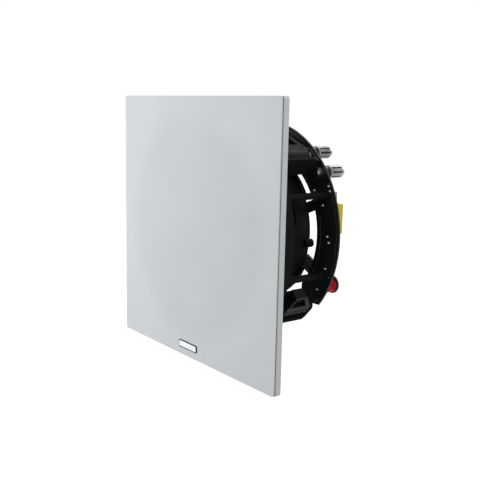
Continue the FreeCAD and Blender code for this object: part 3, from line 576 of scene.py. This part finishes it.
nodes, shader = start("knob_metal")
surface = place(nodes, drawn, **{"Lines per metre": 2600.0, **dict(zip(ALONG, ALONG_AXIS))})
where = axes(nodes, position(nodes))
from_posts = []
for number in (1, 2):
    middle, cap_r, _, nose = measured(f"post_knob_{number}")
    dx = calc(nodes, "SUBTRACT", where["X"], middle.x * MM)
    dz = calc(nodes, "SUBTRACT", where["Z"], middle.z * MM)
    from_posts.append(distance(nodes, dx, dz))
flute_end = nose - NOSE_LONG
flute_shade_mask = spread(nodes, least(nodes, from_posts), (cap_r - FLUTE_FROM) * MM, (cap_r - FLUTE_FULL) * MM)
before_nose = spread(nodes, where["Y"], flute_end * MM, (flute_end - FLUTE_END_BLUR) * MM)
plate = mix(nodes, surface["Tone"], rgba(PLATE_DARK), rgba(PLATE_LIGHT))
# painted shade and dark reflections in the flutes
plate = mix(nodes, calc(nodes, "MULTIPLY", flute_shade_mask, before_nose), plate, rgba(FLUTE_PAINTED_SHADE))
tint(nodes, shader, mix(nodes, place(nodes, worn, Radius=METAL_EDGE)["Mask"], plate, rgba(PLATE_WORN)))
roughen(nodes, shader, surface["Height"], BY_HEIGHT, *PLATE_ROUGH)
shader.inputs["Metallic"].default_value = 1.0
raise_surface(nodes, shader, surface["Height"], depth=0.000006)
print("post caps of radius", round(cap_r, 2), "mm")

# %% [markdown]
# ## Cloth, tape and board
# Behind the sheet lies an open black cloth, the spider is a cloth stiffened with resin, the film capacitor
# is wrapped in yellow tape, and the board is covered with a dark solder mask.

# %% Woven cloth
CLOTH_DRIFT, CLOTH_GRAINS = 0.05, 900.0
CLOTH_GLOSS, CLOTH_SHEEN = 0.15, 0.15


def cloth(name, colour, tone, threads, depth, rough):
    """Woven cloth with raised threads."""
    nodes, shader = start(name)
    cross = place(nodes, weave, **{"Threads per metre": threads})
    drift = place(nodes, grain, **{"Grains per metre": CLOTH_GRAINS})
    lit = calc(nodes, "MULTIPLY", cross["Thread"], drift["Height"])
    tint(nodes, shader, mix(nodes, lit, rgba(colour), rgba(tone)))
    roughen(nodes, shader, drift["Tone"], BY_TONE, rough - CLOTH_DRIFT, rough + CLOTH_DRIFT)
    shader.inputs["Specular IOR Level"].default_value = CLOTH_GLOSS
    shader.inputs["Sheen Weight"].default_value = CLOTH_SHEEN
    raise_surface(nodes, shader, cross["Height"], depth)


cloth("black_cloth", (0.008, 0.008, 0.008), (0.03, 0.03, 0.03), threads=1100.0, depth=0.00012, rough=0.9)
cloth("spider_cloth", (0.34, 0.22, 0.08), (0.52, 0.37, 0.16), threads=1300.0, depth=0.0001, rough=0.75)
print(len(finishes), "finishes with the cloths")

# %% Tape wrap and solder mask
def wrapped(name, colour, tone, worn_colour, grains, clouds, edge, rough, gloss):
    """A thin skin with worn edges: its nodes, its shader and the height of its grain."""
    nodes, shader = start(name)
    skin = place(nodes, grain, **{"Grains per metre": grains, "Clouds per metre": clouds})
    colour_now = mix(nodes, skin["Tone"], rgba(colour), rgba(tone))
    tint(nodes, shader, mix(nodes, place(nodes, worn, Radius=edge)["Mask"], colour_now, rgba(worn_colour)))
    roughen(nodes, shader, skin["Height"], BY_HEIGHT, *rough)
    shader.inputs["Specular IOR Level"].default_value = gloss
    return nodes, shader, skin["Height"]


SKIN_DEPTH = 0.00002
TAPE_LAYERS, TAPE_WANDER = 250.0, 1.5
nodes, shader, height = wrapped("yellow_film", (0.88, 0.65, 0.03), (0.92, 0.72, 0.06), (0.86, 0.72, 0.25),
                                grains=500.0, clouds=90.0, edge=0.0005, rough=(0.3, 0.4), gloss=0.4)
layers = put(nodes, "ShaderNodeTexWave", {"Vector": position(nodes), "Scale": TAPE_LAYERS,
                                          "Distortion": TAPE_WANDER}, bands_direction="X")
raise_surface(nodes, shader, calc(nodes, "ADD", layers.outputs["Fac"], height), SKIN_DEPTH)

nodes, shader, height = wrapped("board", (0.015, 0.018, 0.017), (0.02, 0.024, 0.022), (0.09, 0.095, 0.085),
                                grains=1500.0, clouds=60.0, edge=0.0004, rough=(0.34, 0.44), gloss=0.25)
raise_surface(nodes, shader, height, SKIN_DEPTH)
print(len(finishes), "finishes with tape and board")

# %% [markdown]
# ## Dressing the solids
# Each solid's record names the finish that it has on the real speaker. A small bevel on the rigid ones
# catches the light along their edges as moulded and pressed edges do.

# %% Give every solid its finish
SHARP_ANGLE = 40.0
EDGES = {"grille_sheet": 0.12, "flange": 0.15, "grille_badge": 0.2, "chassis": 0.3, "crossover_board": 0.15,
         "woofer_basket": 0.35, "tweeter_faceplate": 0.2, "film_capacitor": 0.3, "woofer_top_plate": 0.3,
         "woofer_magnet": 0.5, "post_nuts": 0.2, "tweeter_nut": 0.3, "woofer_terminal": 0.3,
         "resistors": 0.25, "post_insulators": 0.2, "tweeter_cup": 0.3}
for number in (1, 2, 3, 4):
    EDGES[f"clamp_arm_{number}"] = 0.35
    EDGES[f"clamp_insert_{number}"] = 0.2
for number in (1, 2):
    EDGES[f"post_collar_{number}"] = 0.25
    EDGES[f"post_knob_{number}"] = 0.2


def dress(piece, finish):
    """Puts one finish on a whole piece."""
    if piece.material_slots:
        for slot in piece.material_slots:
            slot.material = finishes[finish]
    else:
        piece.data.materials.append(finishes[finish])


def soften(piece, width, segments=2):
    """Small rounded edges where two faces meet sharply."""
    bevel = piece.modifiers.new("soft_edges", "BEVEL")
    bevel.width = width * MM
    bevel.segments = segments
    bevel.limit_method = "ANGLE"
    bevel.angle_limit = math.radians(SHARP_ANGLE)
    bevel.harden_normals = True


for entry in frame["record"]["subparts"]:
    dress(solids[entry["node"]], entry["material_slot"])
for name, width in EDGES.items():
    soften(solids[name], width)

# %% [markdown]
# ## Round meshes
# Most pieces of a loudspeaker are turned, pressed or wound, so they are round. One helper carries an outline
# of radius and depth about an axis, as a lathe does. Blender's screw modifier could do that too, but here
# a sector can be made as well, which the moving edge of the cone needs.

# %% Helper that adds a piece
def add_piece(name, points, faces, finish, body=None):
    """A smooth mesh piece from points in millimetres, with its finish and the body it rides on."""
    data = bpy.data.meshes.new(name)
    data.from_pydata([Vector(point) * MM for point in points], [], faces)
    data.shade_smooth()
    piece = bpy.data.objects.new(name, data)
    scene.collection.objects.link(piece)
    dress(piece, finish)
    if body:
        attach(piece, body)
    return piece


print("piece helper ready")

# %% Helpers for round meshes
def bands(rings, count, closed=False):
    """Faces from each ring of points to the next, and from the last to the first if closed."""
    faces = []
    for k in range(rings if closed else rings - 1):
        here, there = k * count, (k + 1) % rings * count
        for i in range(count):
            j = (i + 1) % count
            faces.append((here + i, here + j, there + j, there + i))
    return faces


def carried_round(outline, sides, start=0.0, sweep=360.0, centre=(0.0, 0.0)):
    """Points and faces of a closed outline of (radius, depth) carried about an axis along Y."""
    area = sum(a[0] * b[1] - b[0] * a[1] for a, b in zip(outline, outline[1:] + outline[:1]))
    ring = outline if area > 0 else outline[::-1]
    closed = sweep == 360.0
    stations = sides if closed else sides + 1
    points = []
    for k in range(stations):
        angle = math.radians(start + sweep * k / sides)
        points += [(centre[0] + r * math.cos(angle), y, centre[1] + r * math.sin(angle)) for r, y in ring]
    return points, bands(stations, len(ring), closed)


def arc(centre, radius, first, last, steps):
    """(radius, depth) points along an arc, angles in degrees."""
    angles = [math.radians(first + (last - first) * k / steps) for k in range(steps + 1)]
    return [(centre[0] + radius * math.cos(a), centre[1] + radius * math.sin(a)) for a in angles]


def gathered(shapes):
    """One list of points and one of faces from several shapes."""
    points, faces = [], []
    for more, sides in shapes:
        faces += [tuple(len(points) + i for i in face) for face in sides]
        points += more
    return points, faces


print("lathe helpers ready")

# %% [markdown]
# ## The cone's rubber edge
# A half roll of rubber holds the rim of the cone and lets it move: its outer land is glued to the basket
# and its inner land to the cone. When the cone moves, the roll rocks between the two. The ring is made as
# sectors, each a piece of its own.

# %% Half-roll edge in sectors
SECTORS, SECTOR_STEPS = 24, 4
SPAN = 360.0 / SECTORS
EDGE_INNER_R, EDGE_OUTER_R, EDGE_FRONT, EDGE_REAR = 63.4, 82.5, 6.8, 7.4
ROLL_AXIS_R, ROLL_OUTSIDE, ROLL_INSIDE, ROLL_STEPS = 71.0, 5.0, 4.4, 20
half_roll = [(EDGE_INNER_R, EDGE_FRONT),
             *arc((ROLL_AXIS_R, EDGE_FRONT), ROLL_OUTSIDE, 180.0, 360.0, ROLL_STEPS),
             (EDGE_OUTER_R, EDGE_FRONT), (EDGE_OUTER_R, EDGE_REAR),
             *arc((ROLL_AXIS_R, EDGE_REAR), ROLL_INSIDE, 360.0, 180.0, ROLL_STEPS),
             (EDGE_INNER_R, EDGE_REAR)]


def sector_pieces(name, outline, finish, node):
    """Sectors of a ring, each a piece of its own, in place of a solid."""
    for k in range(SECTORS):
        points, faces = carried_round(outline, SECTOR_STEPS, SPAN * k, SPAN)
        piece = add_piece(f"{name}_{k + 1}", points, faces, finish)
        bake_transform(piece)
        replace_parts(piece, node)
    print(SECTORS, "sectors of", name)


sector_pieces("cone_edge", half_roll, "rubber", "woofer_surround")

# %% [markdown]
# ## The spider
# The corrugated cloth behind the cone keeps the voice coil centred. It is pressed from cotton soaked in
# resin, so its waves are round, and like the rubber edge it bends between the basket and the coil.

# %% Corrugated spider in sectors
SPIDER_INNER, SPIDER_SEAT_R, SPIDER_OUTER, SPIDER_MOVING_R = 19.35, 50.0, 63.55, 21.0
SPIDER_REAR, SPIDER_THICK, SPIDER_WAVE = 58.0, 0.5, 1.1
SPIDER_HALF_WAVES, SPIDER_STEPS = 6, 48


def spider_depth(radius):
    """Depth of the spider's rear side, with half waves that swing either way."""
    share = (radius - SPIDER_INNER) / (SPIDER_SEAT_R - SPIDER_INNER) * SPIDER_HALF_WAVES
    if share >= SPIDER_HALF_WAVES:
        return SPIDER_REAR
    swing = math.sin(math.pi * (share - 0.5)) if 0.5 < share < SPIDER_HALF_WAVES - 0.5 else 0.0
    ease = min(1.0, share, SPIDER_HALF_WAVES - share)
    return SPIDER_REAR - SPIDER_WAVE * swing * ease


steps = range(SPIDER_STEPS + 1)
radii = [SPIDER_INNER + (SPIDER_SEAT_R - SPIDER_INNER) * k / SPIDER_STEPS for k in steps] + [SPIDER_OUTER]
disc = [(r, spider_depth(r)) for r in radii]
disc += [(r, spider_depth(r) - SPIDER_THICK) for r in reversed(radii)]
sector_pieces("spider", disc, "spider_cloth", "woofer_spider")

# %% [markdown]
# ## Foam gasket and soft dome
# A ring of foam seals the woofer against the baffle, so its front corners are soft and round. The tweeter's
# dome is silk with a narrow roll at its foot. Both are turned outlines. Cloth under pressure could swell
# them, but a thin glued ring and a stiffened dome keep the shape that they were made in.

# %% Foam ring
FOAM_INNER, FOAM_OUTER, FOAM_FRONT, FOAM_REAR, FOAM_ROUND = 76.6, 82.5, 4.8, 6.8, 0.9
CORNER_STEPS, FOAM_SIDES = 6, 128
round_depth = FOAM_FRONT + FOAM_ROUND
foam_ring = [*arc((FOAM_OUTER - FOAM_ROUND, round_depth), FOAM_ROUND, 270.0, 360.0, CORNER_STEPS),
             (FOAM_OUTER, FOAM_REAR), (FOAM_INNER, FOAM_REAR),
             *arc((FOAM_INNER + FOAM_ROUND, round_depth), FOAM_ROUND, 180.0, 270.0, CORNER_STEPS),
             ((FOAM_INNER + FOAM_OUTER) / 2, FOAM_FRONT)]
points, faces = carried_round(foam_ring, FOAM_SIDES)
gasket = add_piece("foam_gasket", points, faces, "foam", "housing")
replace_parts(gasket, "woofer_gasket")
print("foam ring", 2 * FOAM_OUTER, "mm across")

# %% Silk dome
DOME_TOP, DOME_RIM, DOME_R, DOME_SKIN, DOME_STEPS = 2.0, 6.0, 11.0, 0.4, 24
DOME_SHORT, DOME_INNER_R, DOME_SIDES = 3.0, 10.4, 72
FOOT_AXIS, FOOT_R, FOOT_STEPS = (11.85, 5.75), 0.85, 8
LAND_INNER_R, LAND_OUTER_R, LAND_FRONT = 13.2, 17.0, 5.62
ball = (DOME_R ** 2 + (DOME_RIM - DOME_TOP) ** 2) / (2 * (DOME_RIM - DOME_TOP))
ball_centre = (0.0, DOME_TOP + ball)
dome_end = 270.0 + math.degrees(math.asin(DOME_R / ball)) - DOME_SHORT
dome = arc(ball_centre, ball, 270.0, dome_end, DOME_STEPS) + arc(FOOT_AXIS, FOOT_R, 190.0, 350.0, FOOT_STEPS)
dome += [(LAND_INNER_R, LAND_FRONT), (LAND_OUTER_R, LAND_FRONT)]
dome += [(LAND_OUTER_R, DOME_RIM), (DOME_INNER_R, DOME_RIM)]
dome += arc(ball_centre, ball - DOME_SKIN, dome_end, 270.0, DOME_STEPS)
points, faces = carried_round(dome, DOME_SIDES)
soft_dome = add_piece("silk_dome", points, faces, "dome_silk", "housing")
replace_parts(soft_dome, "tweeter_dome")
print("dome", 2 * DOME_R, "mm across")

# %% [markdown]
# ## Windings
# The two crossover coils and the voice coil are wound from enamelled wire in neat layers. The top layer is
# modelled as one tube along a helix, turn against turn. A bump map would be lighter, but the outline of
# the coil would stay smooth. Each winding's solid gives its middle, its radius and its two ends.

# %% Wire wound on its bobbin
WIRE_SIDES = 6


def wound(name, node, finish, body, wire_r, turns, sides):
    """One tight layer of wire in place of a winding's solid."""
    middle, outer_r, first, last = measured(node)
    rise = (last - first - 2 * wire_r) / turns
    points = []
    for k in range(turns * sides + 1):
        angle = 2 * math.pi * k / sides
        depth = first + wire_r + rise * k / sides
        for i in range(WIRE_SIDES):
            a = 2 * math.pi * i / WIRE_SIDES
            r = outer_r - wire_r + wire_r * math.cos(a)
            points.append((middle.x + r * math.cos(angle), depth + wire_r * math.sin(a),
                           middle.z + r * math.sin(angle)))
    end = turns * sides * WIRE_SIDES
    faces = bands(turns * sides + 1, WIRE_SIDES)
    faces += [tuple(reversed(range(WIRE_SIDES))), tuple(range(end, end + WIRE_SIDES))]
    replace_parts(add_piece(name, points, faces, finish, body), node)
    print(name, turns, "turns")


wound("treble_wire", "treble_winding", "red_copper", "housing", wire_r=0.25, turns=24, sides=36)
wound("bass_wire", "bass_winding", "copper", "housing", wire_r=0.4, turns=19, sides=48)
wound("voice_coil_wire", "voice_coil_winding", "copper", "cone", wire_r=0.2, turns=18, sides=64)

# %% [markdown]
# ## Solder joints
# The legs of the crossover pieces go through the board and are soldered on its front, which the photograph
# shows as bright dots. Each joint is a small cone of solder with the tip of the leg in it. A dot in the
# board's colour would do from afar, but it would not catch the light.

# %% Solder on the board's front
_, _, board_front, board_rear = measured("crossover_board")
SOLDER_SIDES = 16
JOINTS = [(75.0, 25.4), (82.0, -0.5), (84.0, -5.5), (72.0, -48.3), (81.0, -28.4), (81.0, 42.3), (83.0, 38.3),
          (64.0, 37.3), (-82.5, 14.0), (-77.5, 14.0), (-80.0, -4.0), (-80.0, -24.0), (-47.0, 64.5),
          (-64.0, 52.5)]
SOLDER = [(0.02, -1.4), (0.3, -1.32), (0.36, -0.9), (0.52, -0.52), (0.8, -0.22), (1.2, 0.0), (0.02, 0.0)]
solder_cone = [(r, board_front + depth) for r, depth in SOLDER]
points, faces = gathered([carried_round(solder_cone, SOLDER_SIDES, centre=joint) for joint in JOINTS])
add_piece("solder_joints", points, faces, "plated_steel", "housing")
print(len(JOINTS), "solder joints")

# %% [markdown]
# ## Copper tracks
# Under the dark solder mask the copper tracks stand out as low ribbons on both sides of the board. They are
# flat rings cut to length, a few hundredths of a millimetre high. A painted pattern would need an image.
# Each row below gives a track's radius, its first and last angle and its width.

# %% Tracks on both sides of the board
moulded("masked_track", (0.016, 0.022, 0.019), (0.021, 0.029, 0.024), rough=0.3, grains=1500.0,
        depth=0.00001, gloss=0.3)
TRACK_CENTRE, TRACK_HIGH, TRACK_SIDES = (0.0, -1.4), 0.06, 40
TRACKS = [(73.0, -26.0, 14.0, 2.4), (92.3, -22.0, 30.0, 1.6), (72.6, 24.0, 62.0, 3.0),
          (78.0, 62.0, 104.0, 2.0), (92.0, 58.0, 112.0, 1.8), (73.5, 72.0, 140.0, 2.6),
          (78.2, 120.0, 168.0, 2.0), (92.2, 122.0, 188.0, 1.6), (73.4, 150.0, 206.0, 2.4),
          (78.6, 176.0, 204.0, 1.8)]
ribbons = []
for radius, first, last, width in TRACKS:
    inner, outer = radius - width / 2, radius + width / 2
    for low_y, high_y in ((board_front - TRACK_HIGH, board_front), (board_rear, board_rear + TRACK_HIGH)):
        strip = [(inner, low_y), (outer, low_y), (outer, high_y), (inner, high_y)]
        points, faces = carried_round(strip, TRACK_SIDES, first, last - first, TRACK_CENTRE)
        faces += [(3, 2, 1, 0), tuple(len(points) - 4 + i for i in range(4))]
        ribbons.append((points, faces))
points, faces = gathered(ribbons)
add_piece("board_tracks", points, faces, "masked_track", "housing")
print(len(ribbons), "tracks")

# %% [markdown]
# ## Screws
# Each swing-out clamp runs on a long zinc-plated screw, and short black ones hold the woofer and the board.
# All have a rounded head with a cross recess. The thread is a real helix: the radius goes up and down once a
# turn along the shank. Its crest is the shank of the solid, so it fits the same hole.

# %% Thread
FLANK = 0.4


def thread(centre, first, last, crest, root, pitch, sides=20, rows_a_turn=6):
    """Threaded shank from its head to its closed tip, with flat roots and sharp crests."""
    rows = int(abs(last - first) / pitch * rows_a_turn)
    points = []
    for k in range(rows + 1):
        depth = first + (last - first) * k / rows
        for i in range(sides):
            angle = 2 * math.pi * i / sides
            along = (depth / pitch - i / sides) % 1.0
            r = root + (crest - root) * max(0.0, 1.0 - abs(along - 0.5) / FLANK)
            points.append((centre[0] + r * math.cos(angle), depth, centre[1] + r * math.sin(angle)))
    faces = bands(rows + 1, sides) + [tuple(range(rows * sides, (rows + 1) * sides))]
    return points, [face[::-1] for face in faces] if last > first else faces


print("threads with flanks of", FLANK, "of a turn")

# %% Head with a cross recess
HEAD_RINGS = ((1.0, 1.0), (1.0, 0.33), (0.93, 0.12), (0.77, 0.0))
CROSS_REACH, CROSS_HALF, CROSS_DEEP, CROSS_TAPER = 0.59, 0.114, 0.47, 0.8
CRISP_ANGLE = 35.0


def cross_head(centre, radius, seat, front, reach=CROSS_REACH, half=CROSS_HALF, sides=32):
    """Rounded head between two depths, whose front holds a cross recess."""
    shape = bmesh.new()

    def corner(x, z, share):
        depth = front + (seat - front) * share
        return shape.verts.new((centre[0] + radius * x, depth, centre[1] + radius * z))

    turns = [2 * math.pi * i / sides for i in range(sides)]
    loops = [[corner(r * math.cos(a), r * math.sin(a), share) for a in turns] for r, share in HEAD_RINGS]
    shape.faces.new(loops[0])
    cross = []
    for a in (0.0, 0.5 * math.pi, math.pi, 1.5 * math.pi):
        for x, z in ((reach, -half), (reach, half), (half, half)):
            cross.append((x * math.cos(a) - z * math.sin(a), x * math.sin(a) + z * math.cos(a)))
    mouth = [corner(x, z, 0.0) for x, z in cross]
    bottom = [corner(CROSS_TAPER * x, CROSS_TAPER * z, CROSS_DEEP) for x, z in cross]
    shape.faces.new(bottom)
    for near, far in [*zip(loops, loops[1:]), (mouth, bottom)]:
        for i in range(len(near)):
            j = (i + 1) % len(near)
            shape.faces.new((near[i], near[j], far[j], far[i]))
    borders = [edge for edge in shape.edges if edge.is_boundary]
    bmesh.ops.triangle_fill(shape, use_beauty=True, use_dissolve=False, edges=borders)
    bmesh.ops.recalc_face_normals(shape, faces=shape.faces)
    shape.verts.index_update()
    points = [tuple(vert.co) for vert in shape.verts]
    faces = [tuple(vert.index for vert in face.verts) for face in shape.faces]
    shape.free()
    return points, faces


def add_crisp(name, shapes, finish, body):
    """A piece of several shapes whose sharp edges stay sharp."""
    points, faces = gathered(shapes)
    piece = add_piece(name, points, faces, finish, body)
    piece.modifiers.new("crisp_edges", "EDGE_SPLIT").split_angle = math.radians(CRISP_ANGLE)
    print(name, len(faces), "faces")
    return piece


print("cross recess", CROSS_DEEP, "of the head deep")

# %% Screws of the clamps
CLAMP_HEAD_R, CLAMP_HEAD_FRONT, CLAMP_SEAT, CLAMP_TIP = 4.4, 6.0, 9.0, 71.18
CLAMP_CREST, CLAMP_ROOT, CLAMP_PITCH = 2.5, 2.05, 1.5
for number in (1, 2, 3, 4):
    node = f"clamp_screw_{number}"
    middle = measured(node)[0]
    axis = (middle.x, middle.z)
    shapes = [thread(axis, CLAMP_SEAT, CLAMP_TIP, CLAMP_CREST, CLAMP_ROOT, CLAMP_PITCH),
              cross_head(axis, CLAMP_HEAD_R, CLAMP_SEAT, CLAMP_HEAD_FRONT)]
    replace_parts(add_crisp(f"threaded_screw_{number}", shapes, "zinc", node), node)

# %% [markdown]
# The short screws stand in rings, and the solids know where. So the places are read from the solids' own
# points, which are sorted into heaps that lie apart. Writing the angles down again would work as well, but
# two lists of the same places can come to disagree.

# %% Screws of the woofer and the board
APART = 6.0
SHORT_ROOT, SHORT_SIDES = 0.8, 12


def standing(node):
    """Middle in X and Z of each solid in a node."""
    heaps = []
    for vert in solids[node].data.vertices:
        point = vert.co / MM
        near = [heap for heap in heaps if math.hypot(point.x - heap[0].x, point.z - heap[0].z) < APART]
        if near:
            near[0].append(point)
        else:
            heaps.append([point])
    return [tuple((min(p[i] for p in heap) + max(p[i] for p in heap)) / 2 for i in (0, 2)) for heap in heaps]


def short_screws(name, node, head_r, front, seat, tip, crest, pitch):
    """A ring of like screws in one piece, in place of their solids."""
    shapes = []
    for axis in standing(node):
        shapes.append(thread(axis, seat, tip, crest, SHORT_ROOT * crest, pitch, SHORT_SIDES))
        shapes.append(cross_head(axis, head_r, seat, front))
    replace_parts(add_crisp(name, shapes, "black_zinc", "housing"), node)


short_screws("woofer_cross_screws", "woofer_screws", head_r=2.1, front=3.2, seat=4.8, tip=11.8,
             crest=1.5, pitch=1.2)
short_screws("board_cross_screws", "board_screws", head_r=2.4, front=79.8, seat=78.0, tip=69.0,
             crest=1.25, pitch=1.0)

# %% [markdown]
# ## Top of the round capacitor
# The black sleeve of the round capacitor is shrunk over its rim, and the can's bare top shows inside it,
# scored with a cross where it may give way. The score is the recess of a screw head, made shallow and thin.

# %% Bare top of the can
CAN_TOP_R, CAN_TOP_HIGH = 6.6, 0.12
SCORE_REACH, SCORE_HALF = 0.7, 0.04
middle, _, _, sleeve_end = measured("electrolytic_capacitor")
can_top = cross_head((middle.x, middle.z), CAN_TOP_R, sleeve_end, sleeve_end + CAN_TOP_HIGH,
                     SCORE_REACH, SCORE_HALF)
add_crisp("can_top", [can_top], "plated_steel", "housing")

# %% [markdown]
# ## Acoustic cloth
# A thin black cloth is stretched behind the sheet so that nobody looks through the holes. It is one grid
# that lies against the sheet and gives a little between its glued edges. A cloth simulation would only
# find the same flat shape.

# %% Stretched cloth behind the sheet
CLOTH_SIDE, CLOTH_DEPTH, CLOTH_GIVE, CLOTH_CORNER = 201.0, -6.05, 0.12, 2.0
RIPPLE, RIPPLE_X, RIPPLE_Z = 0.25, (0.21, 0.6), (0.17, 1.1)
CELLS = 48
reach_out = CLOTH_SIDE / 2
corner = reach_out - CLOTH_CORNER
points = []
for i in range(CELLS + 1):
    for j in range(CELLS + 1):
        x, z = (reach_out * (2 * k / CELLS - 1) for k in (i, j))
        give = CLOTH_GIVE * (1 - (x / reach_out) ** 2) * (1 - (z / reach_out) ** 2)
        ripple = RIPPLE * math.sin(x * RIPPLE_X[0] + RIPPLE_X[1]) * math.sin(z * RIPPLE_Z[0] + RIPPLE_Z[1])
        y = CLOTH_DEPTH + give * (1 + ripple)
        over = Vector((max(abs(x) - corner, 0.0), max(abs(z) - corner, 0.0)))
        if min(over) > 0 and over.length > CLOTH_CORNER:
            over *= CLOTH_CORNER / over.length
            x, z = math.copysign(corner + over.x, x), math.copysign(corner + over.y, z)
        points.append((x, y, z))
rows = CELLS + 1
faces = [(i * rows + j, (i + 1) * rows + j, (i + 1) * rows + j + 1, i * rows + j + 1)
         for i in range(CELLS) for j in range(CELLS)]
scrim = add_piece("acoustic_cloth", points, faces, "black_cloth", "grille")
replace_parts(scrim, "grille_scrim")
print("cloth of", CLOTH_SIDE, "mm square")

# %% [markdown]
# ## Frame of the bare plate
# The small plate low on the grille sits in a thin dark frame. It carries no words. The frame is one ring
# that follows the plate's rounded outline.

# %% Dark frame round the plate
low, high = (Vector(point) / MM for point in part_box("grille_badge"))
FRAME_WIDTH, FRAME_BEHIND, FRAME_BEVEL, FRAME_RISE = 0.9, 0.12, 0.15, 0.08
PLATE_CORNER = 0.8
CORNERS = ((1, 1, 0), (-1, 1, 90), (-1, -1, 180), (1, -1, 270))


def rounded_outline(grow, steps=6):
    """Points round the plate's outline, grown outward."""
    found = []
    r = PLATE_CORNER + grow
    for side_x, side_z, first in CORNERS:
        x = (high.x if side_x > 0 else low.x) - side_x * PLATE_CORNER
        z = (high.z if side_z > 0 else low.z) - side_z * PLATE_CORNER
        for k in range(steps + 1):
            a = math.radians(first + 90 * k / steps)
            found.append((x + r * math.cos(a), z + r * math.sin(a)))
    return found


edge, crown, rear = low.y + FRAME_BEHIND, low.y + FRAME_BEHIND - FRAME_RISE, high.y
rings = [(0.0, rear), (0.0, edge), (FRAME_BEVEL, crown), (FRAME_WIDTH - FRAME_BEVEL, crown),
         (FRAME_WIDTH, edge), (FRAME_WIDTH, rear)]
points = [(x, depth, z) for grow, depth in rings for x, z in rounded_outline(grow)]
faces = bands(len(rings), len(points) // len(rings))
add_piece("plate_frame", points, faces, "black_gloss", "grille")
print("frame round", round(high.x - low.x, 1), "x", round(high.z - low.z, 1), "mm")
